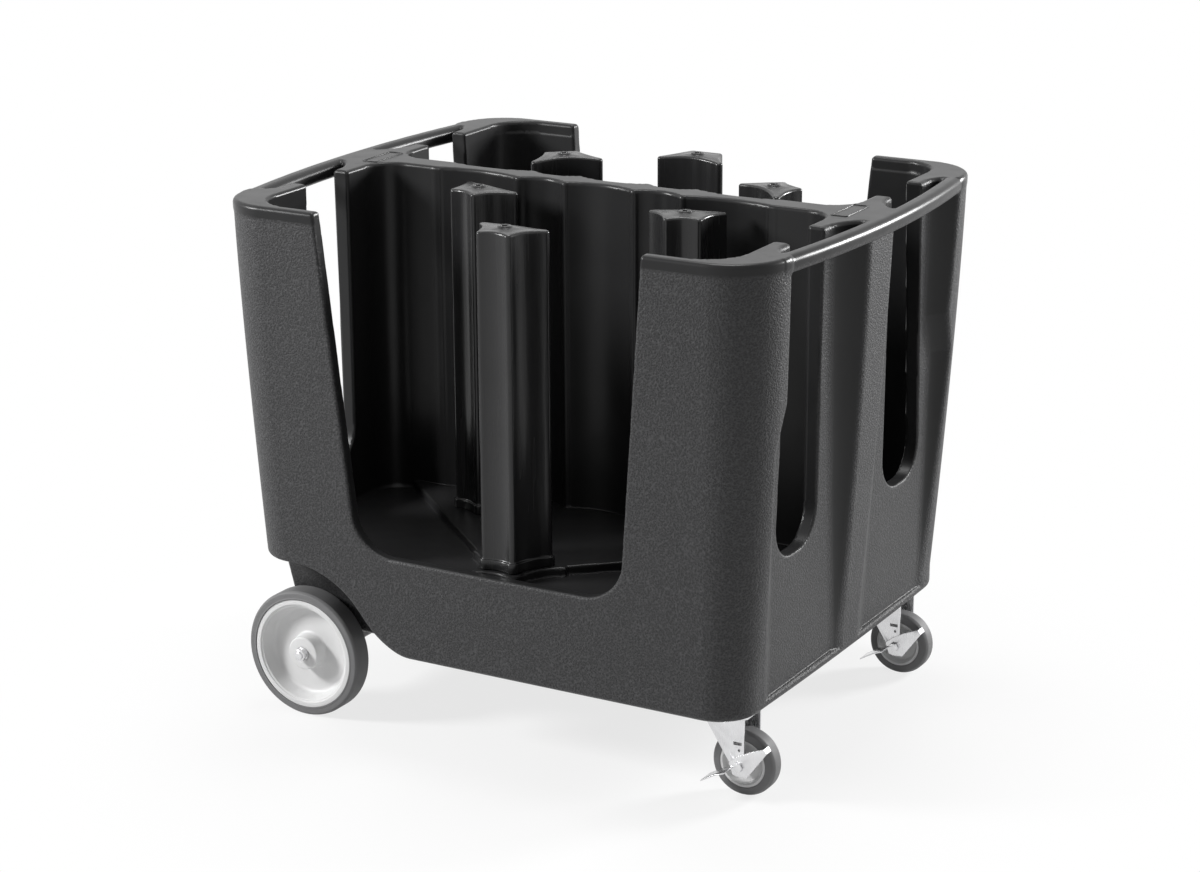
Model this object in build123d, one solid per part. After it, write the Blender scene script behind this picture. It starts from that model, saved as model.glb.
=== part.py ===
from build123d import *
import os
from math import cos, pi, sin, sqrt

# Plate dispenser cart: a moulded open body with a centre partition and six lift-out dividers,
# on two large fixed wheels at one end (-X) and two braked swivel casters at the other (+X).
# Millimetres. The ground is z = 0, the origin is under the middle of the body, +Z is up.

# ---- body shell -------------------------------------------------------------------------
rim_height = 806.0          # top of the rim
deck_underside = 133.0      # flat underside of the hollow deck
underside_round = 12.0      # radius between the underside and the upright walls
skirt_top = 169.0           # height from which the walls lean out
rim_roll = 7.0              # radius of the rim's outer edge
side_at_rim = 385.0         # half width over the long walls at the rim
side_at_skirt = 360.0       # the same at the skirt
pillar_depth = 33.0         # how far the end pillars stand out past the end panels at the rim
end_draft = 39.0            # how far each end draws in from the rim to the skirt
end_draft_power = 1.35      # above 1 the end starts upright and draws in faster lower down
end_bow = 6.0               # how far the middle of each end stands out
corner_at_rim = 85.0        # plan radius of the upright corners at the rim
corner_at_skirt = 62.0      # the same at the skirt
wall = 20.0                 # thickness of the long walls
skin = 6.0                  # thickness of the moulded skin round the hollow deck
vent_radius = 5.0           # moulding vent in the middle of the underside

# ---- bays and floor ---------------------------------------------------------------------
landing_height = 290.0      # raised floor that the dividers stand on
landing_rise = 14.0         # its height above the main floor of each bay
bay_half_length = 390.0     # inner face of the end panels
bay_outer_radius = 62.0     # plan radius at the long walls
bay_inner_radius = 45.0     # plan radius at the partition
partition_flat = 23.0       # half thickness at the flats near the ends
partition_cusp = 27.0       # half thickness at the upright ridges
partition_waist = 13.0      # half thickness at the middle of each hollow
flat_start = 285.0          # distance along X where each flat starts
ridge_outer = 140.0         # distance along X of the outer ridges
ridge_inner = 60.0          # distance along X of the inner ridges
landing_apex = 330.0        # where the raised floor comes to a point, from the partition
landing_reach = 355.0       # half length of the raised floor along the partition
landing_margin = 7.0        # how far each landing stands out round a divider's foot

# ---- openings in the walls --------------------------------------------------------------
side_mouth_top = 269.0      # half width of each long wall's opening at the rim
side_mouth_bottom = 223.0   # half width at its foot, before the corners are rounded
side_mouth_radius = 60.0
slot_near = 116.0           # upright side of each end slot, from the middle
slot_far = 249.0            # its slanted side at the foot
slot_far_rim = 222.0        # and at the rim
slot_foot = 345.0
slot_radius = 56.0
panel_wall = 19.0           # thickness of the recessed end panels at the recess's foot
panel_lean = 8.0            # how much further out their outer face is at the rim
recess_foot = 150.0
recess_round = 28.0         # hollow radius where a panel runs into a pillar's flank
recess_in_slope = 0.7       # how much the middle pillar narrows for each millimetre out from the panel
recess_out_slope = 0.4      # the same for the corner pillars
# height, then where the recess's two flanks leave the panel, from the middle
recess_steps = (
    (recess_foot, 28.0, 284.0),
    (376.0, 50.0, 287.0),
    (530.0, 59.0, 291.0),
    (595.0, 62.0, 266.0),
    (rim_height, 70.0, 274.0),
)

# ---- push rails and label frames --------------------------------------------------------
rail_proud = 3.0            # how far each rail stands out past the corner pillars at its tips
rail_bow = 21.0             # and how much further at its middle
rail_half_span = 292.0
rail_width = 28.0
rail_depth = 26.0
rail_round = 11.0
frame_length = 80.0         # bare label frame on each end block
frame_width = 27.0
frame_rim = 3.0
frame_height = 1.2
frame_inset = 12.0          # from the bays' ends to its middle

# ---- rear wheels and axle ---------------------------------------------------------------
axle_x = -345.0
wheel_radius = 100.0
tyre_width = 38.0
tyre_outer_face = 342.0     # distance of the tyre's outer face from the middle
tyre_round = 4.0
rim_radius = 86.5
rim_ring = 8.0              # width of the raised ring beside the tyre
web_radius = 69.0
web_depth = 23.0            # how deep the web lies inside the ring
web_thickness = 5.0
boss_radius = 26.0
hub_gap = 2.0               # how far the boss stays behind the tyre's face
axle_radius = 6.0
axle_stub = 13.0            # how far the axle stands out past the boss
bush_wall = 4.0
running_fit = 0.1           # radial clearance of a turning fit
side_play = 0.3             # gap between faces that turn against each other
washer_radius = 10.0
washer_thickness = 2.0
axle_nut_flats = 18.0
axle_nut_height = 8.0
well_wall = 295.0           # side of the narrow lower box behind the wheels
arch_radius = 147.0
arch_roof = 23.0            # thickness of the bay's floor over the wheel
arch_flare = 60.0           # radius that runs the arch out into the underside
flare_dip = 0.6             # that arc's lowest point, below the underside, so that it ends in a clean edge
lower_end_top = 409.0       # the lower box's end, at the arch's top
lower_end_foot = 377.0      # and at the underside
hump_half_length = 42.0     # moulded hump that carries the axle
hump_foot = 84.0

# ---- swivel casters ---------------------------------------------------------------------
caster_x = 352.0            # swivel axis
caster_y = 272.0
caster_trail = 31.0
caster_radius = 50.0
caster_tyre_width = 32.0
caster_tyre_round = 6.0
caster_rim_radius = 36.0
caster_hub_radius = 13.0
caster_web = 6.0
caster_pin_radius = 4.0
plate_length = 100.0
plate_width = 84.0
plate_thickness = 3.0
plate_bolt_x = 38.0
plate_bolt_y = 30.0
plate_bolt_radius = 4.0
bolt_head_radius = 6.5
bolt_head_height = 4.0
insert_radius = 6.5
insert_length = 18.0
race_radius = 21.0
ball_radius = 2.0
ball_count = 16
race_cup = 27.0             # outer radius of the cup round the balls
kingpin_radius = 5.0
kingpin_head = 9.0
fork_sheet = 2.5
fork_half_width = 27.0
fork_front = 39.0           # leg's upright edge, from the swivel axis
fork_back = 31.0            # leg's far upper corner, from the swivel axis
fork_eye = 13.0
fork_slot = (13.0, 5.0)
fork_slot_edge = 4.0        # metal left between the slot and the leg's upright edge
fork_slot_rise = 35.0
fork_rivet_radius = 2.0
brake_sheet = 2.0
brake_travel_gap = 0.3
shoe_radius = 51.2          # inner radius of the brake's shoe round the tyre
shoe_angle = 37.0
shoe_span = 9.0
shoe_reach = 3.0            # how far the shoe reaches in over the tyre
cheek_low = ((-4.0, 14.0), (-15.0, 4.0), (-9.0, -13.0), (-2.0, -15.0), (14.0, -14.0))
cheek_notch = (15.0, 25.0)  # the cheek's outline beside the pin, from the pin
tread_reach = 28.0          # how far the foot tread stands out sideways
tread_length = 38.0         # how far the tread reaches past the pin's head
tread_drop = 19.0           # how far its tip lies below the pin

# ---- dividers ---------------------------------------------------------------------------
divider_height = 798.0      # top of each divider at its middle
divider_pitch = 5.0         # how far its top falls to the tips
divider_wide = 51.5         # half distance between the tips' centres on the wide side
divider_narrow = 23.0       # the same on the side opposite
divider_front = 25.0        # those tips' centres, from the divider's own centre
divider_back = 29.0         # the same on the side opposite
divider_tip = 6.0           # radius of each tip
divider_wide_sag = 10.0     # how far each side is hollowed between its tips
divider_narrow_sag = 5.0
divider_wall = 4.0
divider_foot_height = 18.0
divider_foot_margin = 3.5
divider_hole = 5.5
divider_collar = 10.0
divider_collar_height = 1.5
plug_size = 44.0
plug_length = 22.0
plug_round = 8.0
plug_fit = 0.35             # gap between plug and socket on every side
socket_wall = 7.0
# name, place along X, distance from the partition, which bay (-1 near, +1 far), turn of the wide side
dividers = (
    ("divider_near_left", -176.0, 80.0, -1, 162.0),
    ("divider_near_centre", 0.0, 293.0, -1, 180.0),
    ("divider_near_right", 180.0, 86.0, -1, 200.0),
    ("divider_far_left", -186.0, 193.0, 1, 40.0),
    ("divider_far_centre", 0.0, 293.0, 1, 0.0),
    ("divider_far_right", 212.0, 138.0, 1, -34.0),
)

# ---- faces that follow from the sizes above ---------------------------------------------
floor_height = landing_height - landing_rise        # main floor of each bay
arch_top = floor_height - arch_roof                 # underside of the body over the wheel
panel_foot_face = bay_half_length + panel_wall      # outer face of the end panels at the recess's foot
panel_rim_face = panel_foot_face + panel_lean       # and at the rim
end_at_rim = panel_rim_face + pillar_depth          # half length over the end pillars at the rim
rail_tip_out = end_at_rim + rail_proud              # outer face of each rail at the corner pillars
rail_out = rail_tip_out + rail_bow                  # and at its middle
frame_place = bay_half_length + frame_inset         # middle of each label frame, along X
big = 1000.0                                        # longer than anything it cuts


def along(low, high, t):
    return low + (high - low) * t


def height_share(z):
    return (z - skirt_top) / (rim_height - skirt_top)


def side_y(z):
    return along(side_at_skirt, side_at_rim, height_share(z))


def end_x(z):
    return end_at_rim - end_draft * (1 - height_share(z)) ** end_draft_power


def box_between(x0, x1, y0, y1, z0, z1):
    size = (x1 - x0, y1 - y0, z1 - z0)
    middle = ((x0 + x1) / 2, (y0 + y1) / 2, (z0 + z1) / 2)
    return Pos(*middle) * Box(*size)


def tube(radius, bore, y0, y1, x, z):
    """A ring along Y."""
    ring = Circle(radius) - Circle(bore) if bore else Circle(radius)
    return extrude(Plane((x, y0, z), x_dir=(1, 0, 0), z_dir=(0, 1, 0)) * ring, y1 - y0)


def side_profile(points, y0, y1):
    """A closed outline in X and Z, made solid between two places along Y."""
    face = make_face(Polyline(*[(x, -z) for x, z in points], close=True))
    return extrude(Plane((0, y0, 0), x_dir=(1, 0, 0), z_dir=(0, 1, 0)) * face, y1 - y0)


def turned(points, x, z):
    """A closed outline of radius and place along Y, turned about an axle along Y."""
    face = make_face(Polyline(*points, close=True))
    return Pos(x, 0, z) * revolve(Plane.XY * face, Axis.Y)


def hexagon_along_y(flats, y0, y1, x, z):
    face = RegularPolygon(flats / 2, 6, major_radius=False)
    return extrude(Plane((x, y0, z), x_dir=(1, 0, 0), z_dir=(0, 1, 0)) * face, y1 - y0)


# ---- body -------------------------------------------------------------------------------
def body_section(z, inset=0.0):
    """Plan outline: straight long sides, ends bowed out a little, round corners."""
    length = end_x(max(z, skirt_top)) - inset
    width = side_y(max(z, skirt_top)) - inset
    radius = along(corner_at_skirt, corner_at_rim, height_share(max(z, skirt_top))) - inset
    edges = [
        Line((-length, -width), (length, -width)),
        ThreePointArc((length, -width), (length + end_bow, 0), (length, width)),
        Line((length, width), (-length, width)),
        ThreePointArc((-length, width), (-length - end_bow, 0), (-length, -width)),
    ]
    face = make_face(edges)
    return Pos(0, 0, z) * fillet(face.vertices(), radius)


def rounded_stack(radius, z_edge, direction):
    """Sections that follow a quarter circle from the wall into a flat face."""
    steps = [n * pi / 8 for n in range(5)]
    return [body_section(z_edge + direction * radius * sin(a), radius * (1 - cos(a))) for a in steps]


def body_block():
    top = rim_height - rim_roll
    walls = loft([body_section(along(skirt_top, top, share)) for share in (0, 0.2, 0.4, 0.6, 0.8, 1)])
    foot = deck_underside + underside_round
    skirt = extrude(body_section(foot), skirt_top - foot)
    underside = loft(rounded_stack(underside_round, foot, -1))
    roll = loft(rounded_stack(rim_roll, top, 1))
    return walls + skirt + underside + roll


def partition_edges(side):
    """The partition's face towards one bay: flats, then hollows between upright ridges."""
    knots = (flat_start, ridge_outer, ridge_inner, -ridge_inner, -ridge_outer, -flat_start)
    depth = {flat_start: partition_flat, ridge_outer: partition_cusp, ridge_inner: partition_cusp}
    edges = []
    for start, stop in zip(knots, knots[1:]):
        middle = ((start + stop) / 2, side * partition_waist)
        first = (start, side * depth[abs(start)])
        last = (stop, side * depth[abs(stop)])
        edges.append(ThreePointArc(first, middle, last))
    return edges


def bay_section(z, side):
    x = bay_half_length
    y = side_y(z) - wall
    ri = bay_inner_radius
    ro = bay_outer_radius
    flat = partition_flat
    near = x - ri
    bend = 1 - sqrt(0.5)
    edges = partition_edges(side)
    for end in (1, -1):
        edges += [
            Line((end * flat_start, side * flat), (end * near, side * flat)),
            ThreePointArc(
                (end * near, side * flat),
                (end * (x - ri * bend), side * (flat + ri * bend)),
                (end * x, side * (flat + ri)),
            ),
            Line((end * x, side * (flat + ri)), (end * x, side * (y - ro))),
            ThreePointArc(
                (end * x, side * (y - ro)),
                (end * (x - ro * bend), side * (y - ro * bend)),
                (end * (x - ro), side * y),
            ),
        ]
    edges.append(Line((x - ro, side * y), (ro - x, side * y)))
    return Pos(0, 0, z) * make_face(edges)


def bay(side, z0, z1):
    return loft([bay_section(z0, side), bay_section(z1, side)], ruled=True)


def side_mouth(side):
    """The wide opening in a long wall: open at the rim, round at its lower corners."""
    top = rim_height + rim_roll
    slope = (side_mouth_top - side_mouth_bottom) / (rim_height - landing_height)
    reach = side_mouth_top + slope * rim_roll
    outline = Polyline(
        (-reach, -top), (reach, -top), (side_mouth_bottom, -landing_height),
        (-side_mouth_bottom, -landing_height), close=True,
    )
    face = make_face(outline)
    low = face.vertices().sort_by(Axis.Y)[-2:]
    face = fillet(low, side_mouth_radius)
    start = side_y(landing_height) - 2 * wall
    plane = Plane((0, start if side > 0 else -big, 0), x_dir=(1, 0, 0), z_dir=(0, 1, 0))
    return extrude(plane * face, big - start)


def panel_face(z):
    return along(panel_foot_face, panel_rim_face, (z - recess_foot) / (rim_height - recess_foot))


def end_slot(end, side):
    """Slot through an end panel: open at the rim, round at its foot, its outer side slanted."""
    top = rim_height + rim_roll
    near = side * slot_near
    outline = ((near, slot_foot), (near, top), (side * slot_far_rim, top), (side * slot_far, slot_foot))
    face = make_face(Polyline(*outline, close=True))
    face = fillet(face.vertices().sort_by(Axis.Y)[:2], slot_radius)
    plane = Plane((end * (bay_half_length - wall), 0, 0), x_dir=(0, 1, 0), z_dir=(1, 0, 0))
    return extrude(plane * face, end * (panel_rim_face - bay_half_length + 2 * wall))


def recess_section(z, end, side, inner, outer):
    """Plan outline of a recess: the panel at its back, two flanks that spread outwards, round valleys."""
    face = panel_face(z)
    depth = end_at_rim + end_bow + recess_round - face
    points = (
        (end * face, side * inner), (end * face, side * outer),
        (end * (face + depth), side * (outer + depth * recess_out_slope)),
        (end * (face + depth), side * max(inner - depth * recess_in_slope, 0)),
    )
    outline = make_face(Polyline(*points, close=True))
    valleys = outline.vertices().sort_by(Axis.X)
    valleys = valleys[:2] if end > 0 else valleys[-2:]
    return Pos(0, 0, z) * fillet(valleys, recess_round)


def end_recess(end, side):
    """Cut that leaves the corner and middle pillars proud: deep at the rim, flush at the foot."""
    top = (rim_height + rim_roll, *recess_steps[-1][1:])
    return loft([recess_section(z, end, side, *edges) for z, *edges in (*recess_steps, top)], ruled=True)


def push_rail(end):
    """Bowed bar across the end, level with the rim."""

    def arc(inset):
        tip = rail_tip_out - inset
        middle = rail_out - inset
        return ThreePointArc((end * tip, -rail_half_span), (end * middle, 0), (end * tip, rail_half_span))

    tips = [(end * (rail_tip_out - n), s * rail_half_span) for s in (1, -1) for n in (0, rail_width)]
    edges = [arc(0), Line(tips[0], tips[1]), arc(rail_width), Line(tips[2], tips[3])]
    bar = extrude(Pos(0, 0, rim_height - rail_depth) * make_face(edges), rail_depth)
    long_edges = bar.edges().filter_by(GeomType.CIRCLE)
    return fillet(long_edges, rail_round)


def label_frame(end):
    """Raised bare frame on the end block's top."""
    ring = Rectangle(frame_width, frame_length)
    ring -= Rectangle(frame_width - 2 * frame_rim, frame_length - 2 * frame_rim)
    return Pos(end * frame_place, 0, rim_height) * extrude(ring, frame_height)


def flare_centre():
    """Centre of the arc that runs the arch out into the underside: it touches the arch."""
    height = deck_underside - flare_dip + arch_flare
    rise = height - (arch_top - arch_radius)
    run = sqrt((arch_radius + arch_flare) ** 2 - rise ** 2)
    return axle_x + run, height


def wheel_arch(side):
    """Room for a rear wheel: level behind it, a round arch over it, then a flare into the underside."""
    middle = (axle_x, arch_top - arch_radius)
    flare_x, flare_z = flare_centre()
    meet = toward(middle, (flare_x, flare_z), arch_radius)
    crown = toward(middle, ((axle_x + meet[0]) / 2, (arch_top + meet[1]) / 2), arch_radius)
    flare_foot = flare_z - arch_flare
    bend = toward((flare_x, flare_z), ((meet[0] + flare_x) / 2, (meet[1] + flare_foot) / 2), arch_flare)
    edges = [
        Line((-big, 0), (-big, -arch_top)),
        Line((-big, -arch_top), (axle_x, -arch_top)),
        ThreePointArc((axle_x, -arch_top), (crown[0], -crown[1]), (meet[0], -meet[1])),
        ThreePointArc((meet[0], -meet[1]), (bend[0], -bend[1]), (flare_x, -flare_foot)),
        Line((flare_x, -flare_foot), (flare_x, 0)),
        Line((flare_x, 0), (-big, 0)),
    ]
    start = well_wall if side > 0 else -big
    plane = Plane((0, start, 0), x_dir=(1, 0, 0), z_dir=(0, 1, 0))
    return extrude(plane * make_face(edges), big - well_wall)


def lower_end_cut():
    points = (
        (-big, 0), (-big, arch_top), (-lower_end_top, arch_top), (-lower_end_foot, deck_underside),
        (-lower_end_foot, 0),
    )
    return side_profile(points, -big, big)


def axle_hump():
    half = hump_half_length
    points = (
        (axle_x - half, deck_underside + skin), (axle_x - half * 0.6, hump_foot),
        (axle_x + half * 0.6, hump_foot), (axle_x + half, deck_underside + skin),
    )
    hump = side_profile(points, -well_wall, well_wall)
    return hump - tube(axle_radius + running_fit, 0, -big, big, axle_x, wheel_radius)


def deck_step():
    """Where the deck widens from between the rear wheels to its full width, just past the arches."""
    return flare_centre()[0] + skin


def caster_pads():
    """Solid stuff left in the hollow deck, for the casters' inserts."""
    pad = RectangleRounded(plate_length + 2 * skin, plate_width + 2 * skin, skin)
    height = insert_length + 2 * skin
    return [Pos(caster_x, side * caster_y, deck_underside) * extrude(pad, height) for side in (1, -1)]


def divider_place(x, out, bay_side, turn):
    return Pos(x, bay_side * out, 0) * Rot(0, 0, turn)


def toward(start, stop, distance):
    """The point that lies so far from start in the direction of stop."""
    dx, dy = stop[0] - start[0], stop[1] - start[1]
    length = sqrt(dx ** 2 + dy ** 2)
    return (start[0] + dx / length * distance, start[1] + dy / length * distance)


def divider_section(grow=0.0):
    """Four round tips joined by hollow sides that run smoothly into them; the wide side faces -Y."""
    radius = divider_tip + grow
    tips = (
        (-divider_wide, -divider_front), (divider_wide, -divider_front),
        (divider_narrow, divider_back), (-divider_narrow, divider_back),
    )
    sags = (divider_wide_sag, divider_narrow_sag, divider_narrow_sag, divider_narrow_sag)
    sides = []
    for n, sag in enumerate(sags):
        first, last = tips[n], tips[(n + 1) % 4]
        middle = ((first[0] + last[0]) / 2, (first[1] + last[1]) / 2)
        outward = (middle[0] + last[1] - first[1], middle[1] + first[0] - last[0])
        half = sqrt((last[0] - first[0]) ** 2 + (last[1] - first[1]) ** 2) / 2
        centre = toward(middle, outward, (half ** 2 - sag ** 2) / (2 * sag))
        deepest = toward(middle, outward, radius - sag)
        sides.append((toward(first, centre, radius), deepest, toward(last, centre, radius)))
    edges = [ThreePointArc(*side) for side in sides]
    for n, tip in enumerate(tips):
        arrive, leave = sides[n - 1][2], sides[n][0]
        between = ((arrive[0] + leave[0]) / 2, (arrive[1] + leave[1]) / 2)
        edges.append(ThreePointArc(arrive, toward(tip, between, radius), leave))
    return make_face(edges)


def landings(side):
    """Raised floor of one bay: a wide point from the partition, and a landing under each divider."""
    outline = (
        (-landing_reach, side * partition_waist), (0, side * landing_apex),
        (landing_reach, side * partition_waist),
    )
    plan = make_face(Polyline(*outline, close=True))
    pad = divider_section(divider_foot_margin + landing_margin)
    for name, x, out, bay_side, turn in dividers:
        if bay_side == side:
            plan += divider_place(x, out, bay_side, turn) * pad
    return Pos(0, 0, floor_height) * extrude(plan, landing_height - floor_height)


def socket_cuts():
    cuts = []
    for name, x, out, bay_side, turn in dividers:
        side = plug_size + 2 * plug_fit
        hole = extrude(RectangleRounded(side, side, plug_round), plug_length + plug_fit)
        level = landing_height - plug_length - plug_fit
        cuts.append(divider_place(x, out, bay_side, turn) * Pos(0, 0, level) * hole)
    return cuts


def deck_hollow():
    """The moulding's inner void, with solid posts left round the sockets and over the casters."""
    low = deck_underside + skin
    high = floor_height - skin
    start = deck_step()
    front = end_x(skirt_top) - underside_round - corner_at_skirt / 2
    side = side_at_skirt - underside_round - corner_at_skirt / 2
    void = box_between(start, front, -side, side, low, high)
    void += box_between(-lower_end_foot + skin, start, skin - well_wall, well_wall - skin, low, high)
    for name, x, out, bay_side, turn in dividers:
        core = Rectangle(plug_size + 2 * socket_wall, plug_size + 2 * socket_wall)
        depth = plug_length + socket_wall
        core = extrude(core, depth + skin)
        void -= divider_place(x, out, bay_side, turn) * Pos(0, 0, landing_height - depth) * core
    for pad in caster_pads():
        void -= pad
    return void


def caster_bolt_places():
    places = []
    for side in (1, -1):
        for dx in (-plate_bolt_x, plate_bolt_x):
            for dy in (-plate_bolt_y, plate_bolt_y):
                places.append((caster_x + dx, side * caster_y + dy))
    return places


def insert_holes():
    middle = deck_underside + insert_length / 2
    return [Pos(x, y, middle) * Cylinder(insert_radius, insert_length) for x, y in caster_bolt_places()]


def build_shell():
    """The moulding's outside with its bays, mouths, recesses, slots and wheel arches cut."""
    shell = body_block()
    shell -= [bay(side, landing_height, rim_height + rim_roll) for side in (1, -1)]
    shell -= [bay(side, floor_height, landing_height) - landings(side) for side in (1, -1)]
    shell -= [side_mouth(side) for side in (1, -1)]
    for end in (1, -1):
        for side in (1, -1):
            shell -= end_recess(end, side)
            shell -= end_slot(end, side)
    shell -= [wheel_arch(side) for side in (1, -1)]
    return shell - lower_end_cut()


def part_between(shape, end, x0, x1, side, y0, y1, z0, z1):
    """The part of shape between distances from the middle planes, towards one end and one side."""
    xs = sorted((end * x0, end * x1))
    ys = sorted((side * y0, side * y1))
    return shape & box_between(*xs, *ys, z0, z1)


def build_deck(shell):
    """Everything under the dividers' feet: the wide deck, the narrow one behind it and its two skirts."""
    deck = (shell & box_between(-big, big, -big, big, 0, landing_height)) + axle_hump()
    deck -= socket_cuts()
    deck -= deck_hollow()
    deck -= Pos(0, 0, deck_underside) * Cylinder(vent_radius, 4 * skin)
    deck -= insert_holes()
    start = deck_step()
    parts = {
        "body_deck": deck & box_between(start, big, -big, big, 0, landing_height),
        "body_rear_deck": deck & box_between(-big, start, -well_wall, well_wall, 0, landing_height),
    }
    for name, side in wheel_places():
        skirt = part_between(deck, -1, -start, big, side, well_wall, big, 0, landing_height)
        parts[f"body_{name}_skirt"] = skirt
    return parts


def build_end(upper, name, end):
    """One end over the deck: middle pillar, slotted webs, corner pillars and push rail."""
    z0, z1 = landing_height, rim_height
    pillar = part_between(upper, end, flat_start, big, 1, -slot_near, slot_near, z0, z1)
    parts = {f"body_{name}_pillar": pillar + label_frame(end), f"body_{name}_rail": push_rail(end) - upper}
    for place, side in wheel_places():
        web = part_between(upper, end, flat_start, big, side, slot_near, slot_far, z0, z1)
        corner = part_between(upper, end, 0, big, side, slot_far, big, z0, z1)
        parts[f"body_{name}_{place}_web"] = web
        parts[f"body_{name}_{place}_corner"] = corner
    return parts


def build_body():
    """The one moulding, parted along its own steps into nodes that meet face to face."""
    shell = build_shell()
    parts = build_deck(shell)
    upper = shell - box_between(-big, big, -big, big, 0, landing_height)
    parts["body_partition"] = part_between(
        upper, 1, -flat_start, flat_start, 1, -partition_cusp, partition_cusp, landing_height, rim_height,
    )
    for name, end in (("front", 1), ("rear", -1)):
        parts.update(build_end(upper, name, end))
    return parts


# ---- rear wheels ------------------------------------------------------------------------
def wheel_places():
    return (("near", -1), ("far", 1))


def mirrored_y(shape, side):
    """Parts are drawn on the far side (+Y); the near ones are their mirror images."""
    return shape if side > 0 else mirror(shape, Plane.XZ)


boss_face = tyre_outer_face - hub_gap
hub_back = well_wall + washer_thickness + side_play


def rear_rim():
    outer = tyre_outer_face - hub_gap / 2
    inner = tyre_outer_face - tyre_width + hub_gap / 2
    web_out = outer - web_depth
    web_in = web_out - web_thickness
    bore = axle_radius + running_fit + bush_wall
    ring_in = rim_radius - rim_ring
    points = (
        (bore, hub_back), (boss_radius, hub_back), (boss_radius, web_in), (web_radius, web_in),
        (ring_in, inner), (rim_radius, inner), (rim_radius, outer), (ring_in, outer),
        (ring_in - 2, outer - 3), (web_radius, web_out), (boss_radius + 1, web_out),
        (boss_radius, boss_face - 2), (boss_radius - 2, boss_face), (bore, boss_face),
    )
    return turned(points, axle_x, wheel_radius)


def ring_tyre(outer_radius, inner_radius, y0, y1, rounding, x, z):
    ring = tube(outer_radius, inner_radius, y0, y1, x, z)
    rims = [e for e in ring.edges().filter_by(GeomType.CIRCLE) if abs(e.radius - outer_radius) < 0.01]
    return fillet(rims, rounding)


def rear_tyre():
    inner_face = tyre_outer_face - tyre_width
    return ring_tyre(
        wheel_radius, rim_radius, inner_face, tyre_outer_face, tyre_round, axle_x, wheel_radius,
    )


def rear_bush():
    bore = axle_radius + running_fit
    return tube(bore + bush_wall, bore, hub_back, boss_face, axle_x, wheel_radius)


def rear_hardware():
    """The axle rod, its washers and its nuts."""
    outer_washer = boss_face + side_play
    nut_start = outer_washer + washer_thickness
    end = boss_face + axle_stub + side_play
    axle = tube(axle_radius, 0, -end, end, axle_x, wheel_radius)
    axle = chamfer(axle.edges().filter_by(GeomType.CIRCLE), 1.0)
    washers = []
    nuts = []
    for name, side in wheel_places():
        for start in (well_wall, outer_washer):
            ring = tube(washer_radius, axle_radius, start, start + washer_thickness, axle_x, wheel_radius)
            washers.append(mirrored_y(ring, side))
        nut = hexagon_along_y(axle_nut_flats, nut_start, nut_start + axle_nut_height, axle_x, wheel_radius)
        nut -= tube(axle_radius, 0, nut_start, big, axle_x, wheel_radius)
        nuts.append(mirrored_y(nut, side))
    return {
        "rear_axle": axle,
        "axle_washers": Compound(children=washers),
        "axle_nuts": Compound(children=nuts),
    }


# ---- casters ----------------------------------------------------------------------------
plate_foot = deck_underside - plate_thickness
crown_top = plate_foot - 2 * ball_radius - side_play
crown_foot = crown_top - fork_sheet
leg_inner = fork_half_width - fork_sheet
caster_axle_x = caster_x + caster_trail
brake_inner = fork_half_width + brake_travel_gap
brake_outer = brake_inner + brake_sheet


def upright_disc(radius, z0, z1, bore=0.0):
    ring = Circle(radius) - Circle(bore) if bore else Circle(radius)
    return Pos(caster_x, 0, z0) * extrude(ring, z1 - z0)


def caster_plate():
    plate = RectangleRounded(plate_length, plate_width, skin)
    for dx in (-plate_bolt_x, plate_bolt_x):
        for dy in (-plate_bolt_y, plate_bolt_y):
            plate -= Pos(dx, dy) * Circle(plate_bolt_radius + running_fit)
    solid = Pos(caster_x, 0, plate_foot) * extrude(plate, plate_thickness)
    cup = upright_disc(race_cup, crown_top + side_play, plate_foot, race_radius + ball_radius)
    return solid + cup - upright_disc(kingpin_radius, 0, big)


def caster_kingpin():
    shank = upright_disc(kingpin_radius, crown_foot - side_play, deck_underside)
    head = upright_disc(kingpin_head, crown_foot - side_play - fork_sheet, crown_foot - side_play)
    return shank + head


def caster_balls():
    centre = plate_foot - ball_radius
    balls = []
    for n in range(ball_count):
        angle = 2 * pi * n / ball_count
        x, y = caster_x + race_radius * cos(angle), race_radius * sin(angle)
        balls.append(Pos(x, y, centre) * Sphere(ball_radius))
    return Compound(children=balls)


def caster_fork():
    """Bent sheet: a crown and two legs that narrow to the wheel's pin."""
    front = caster_x + fork_front
    back = caster_x - fork_back
    leg = (
        (back, crown_top), (front, crown_top), (front, caster_radius + fork_eye),
        (caster_axle_x + fork_eye, caster_radius), (caster_axle_x - fork_eye, caster_radius),
    )
    solid = box_between(back, front, -fork_half_width, fork_half_width, crown_foot, crown_top)
    for side in (1, -1):
        y0 = leg_inner if side > 0 else -fork_half_width
        solid += side_profile(leg, y0, y0 + fork_sheet)
        solid += tube(fork_eye, 0, y0, y0 + fork_sheet, caster_axle_x, caster_radius)
    length, rise = fork_slot
    slot_z = caster_radius + fork_slot_rise
    slot_x = front - fork_slot_edge - length / 2
    solid -= Pos(slot_x, 0, slot_z) * Box(length, 2 * big, rise)
    rivet_z = slot_z - 2 * rise
    solid -= tube(fork_rivet_radius, 0, -big, big, slot_x + rise / 2, rivet_z)
    solid -= tube(caster_pin_radius, 0, -big, big, caster_axle_x, caster_radius)
    return solid - upright_disc(kingpin_radius + running_fit, 0, big)


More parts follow.
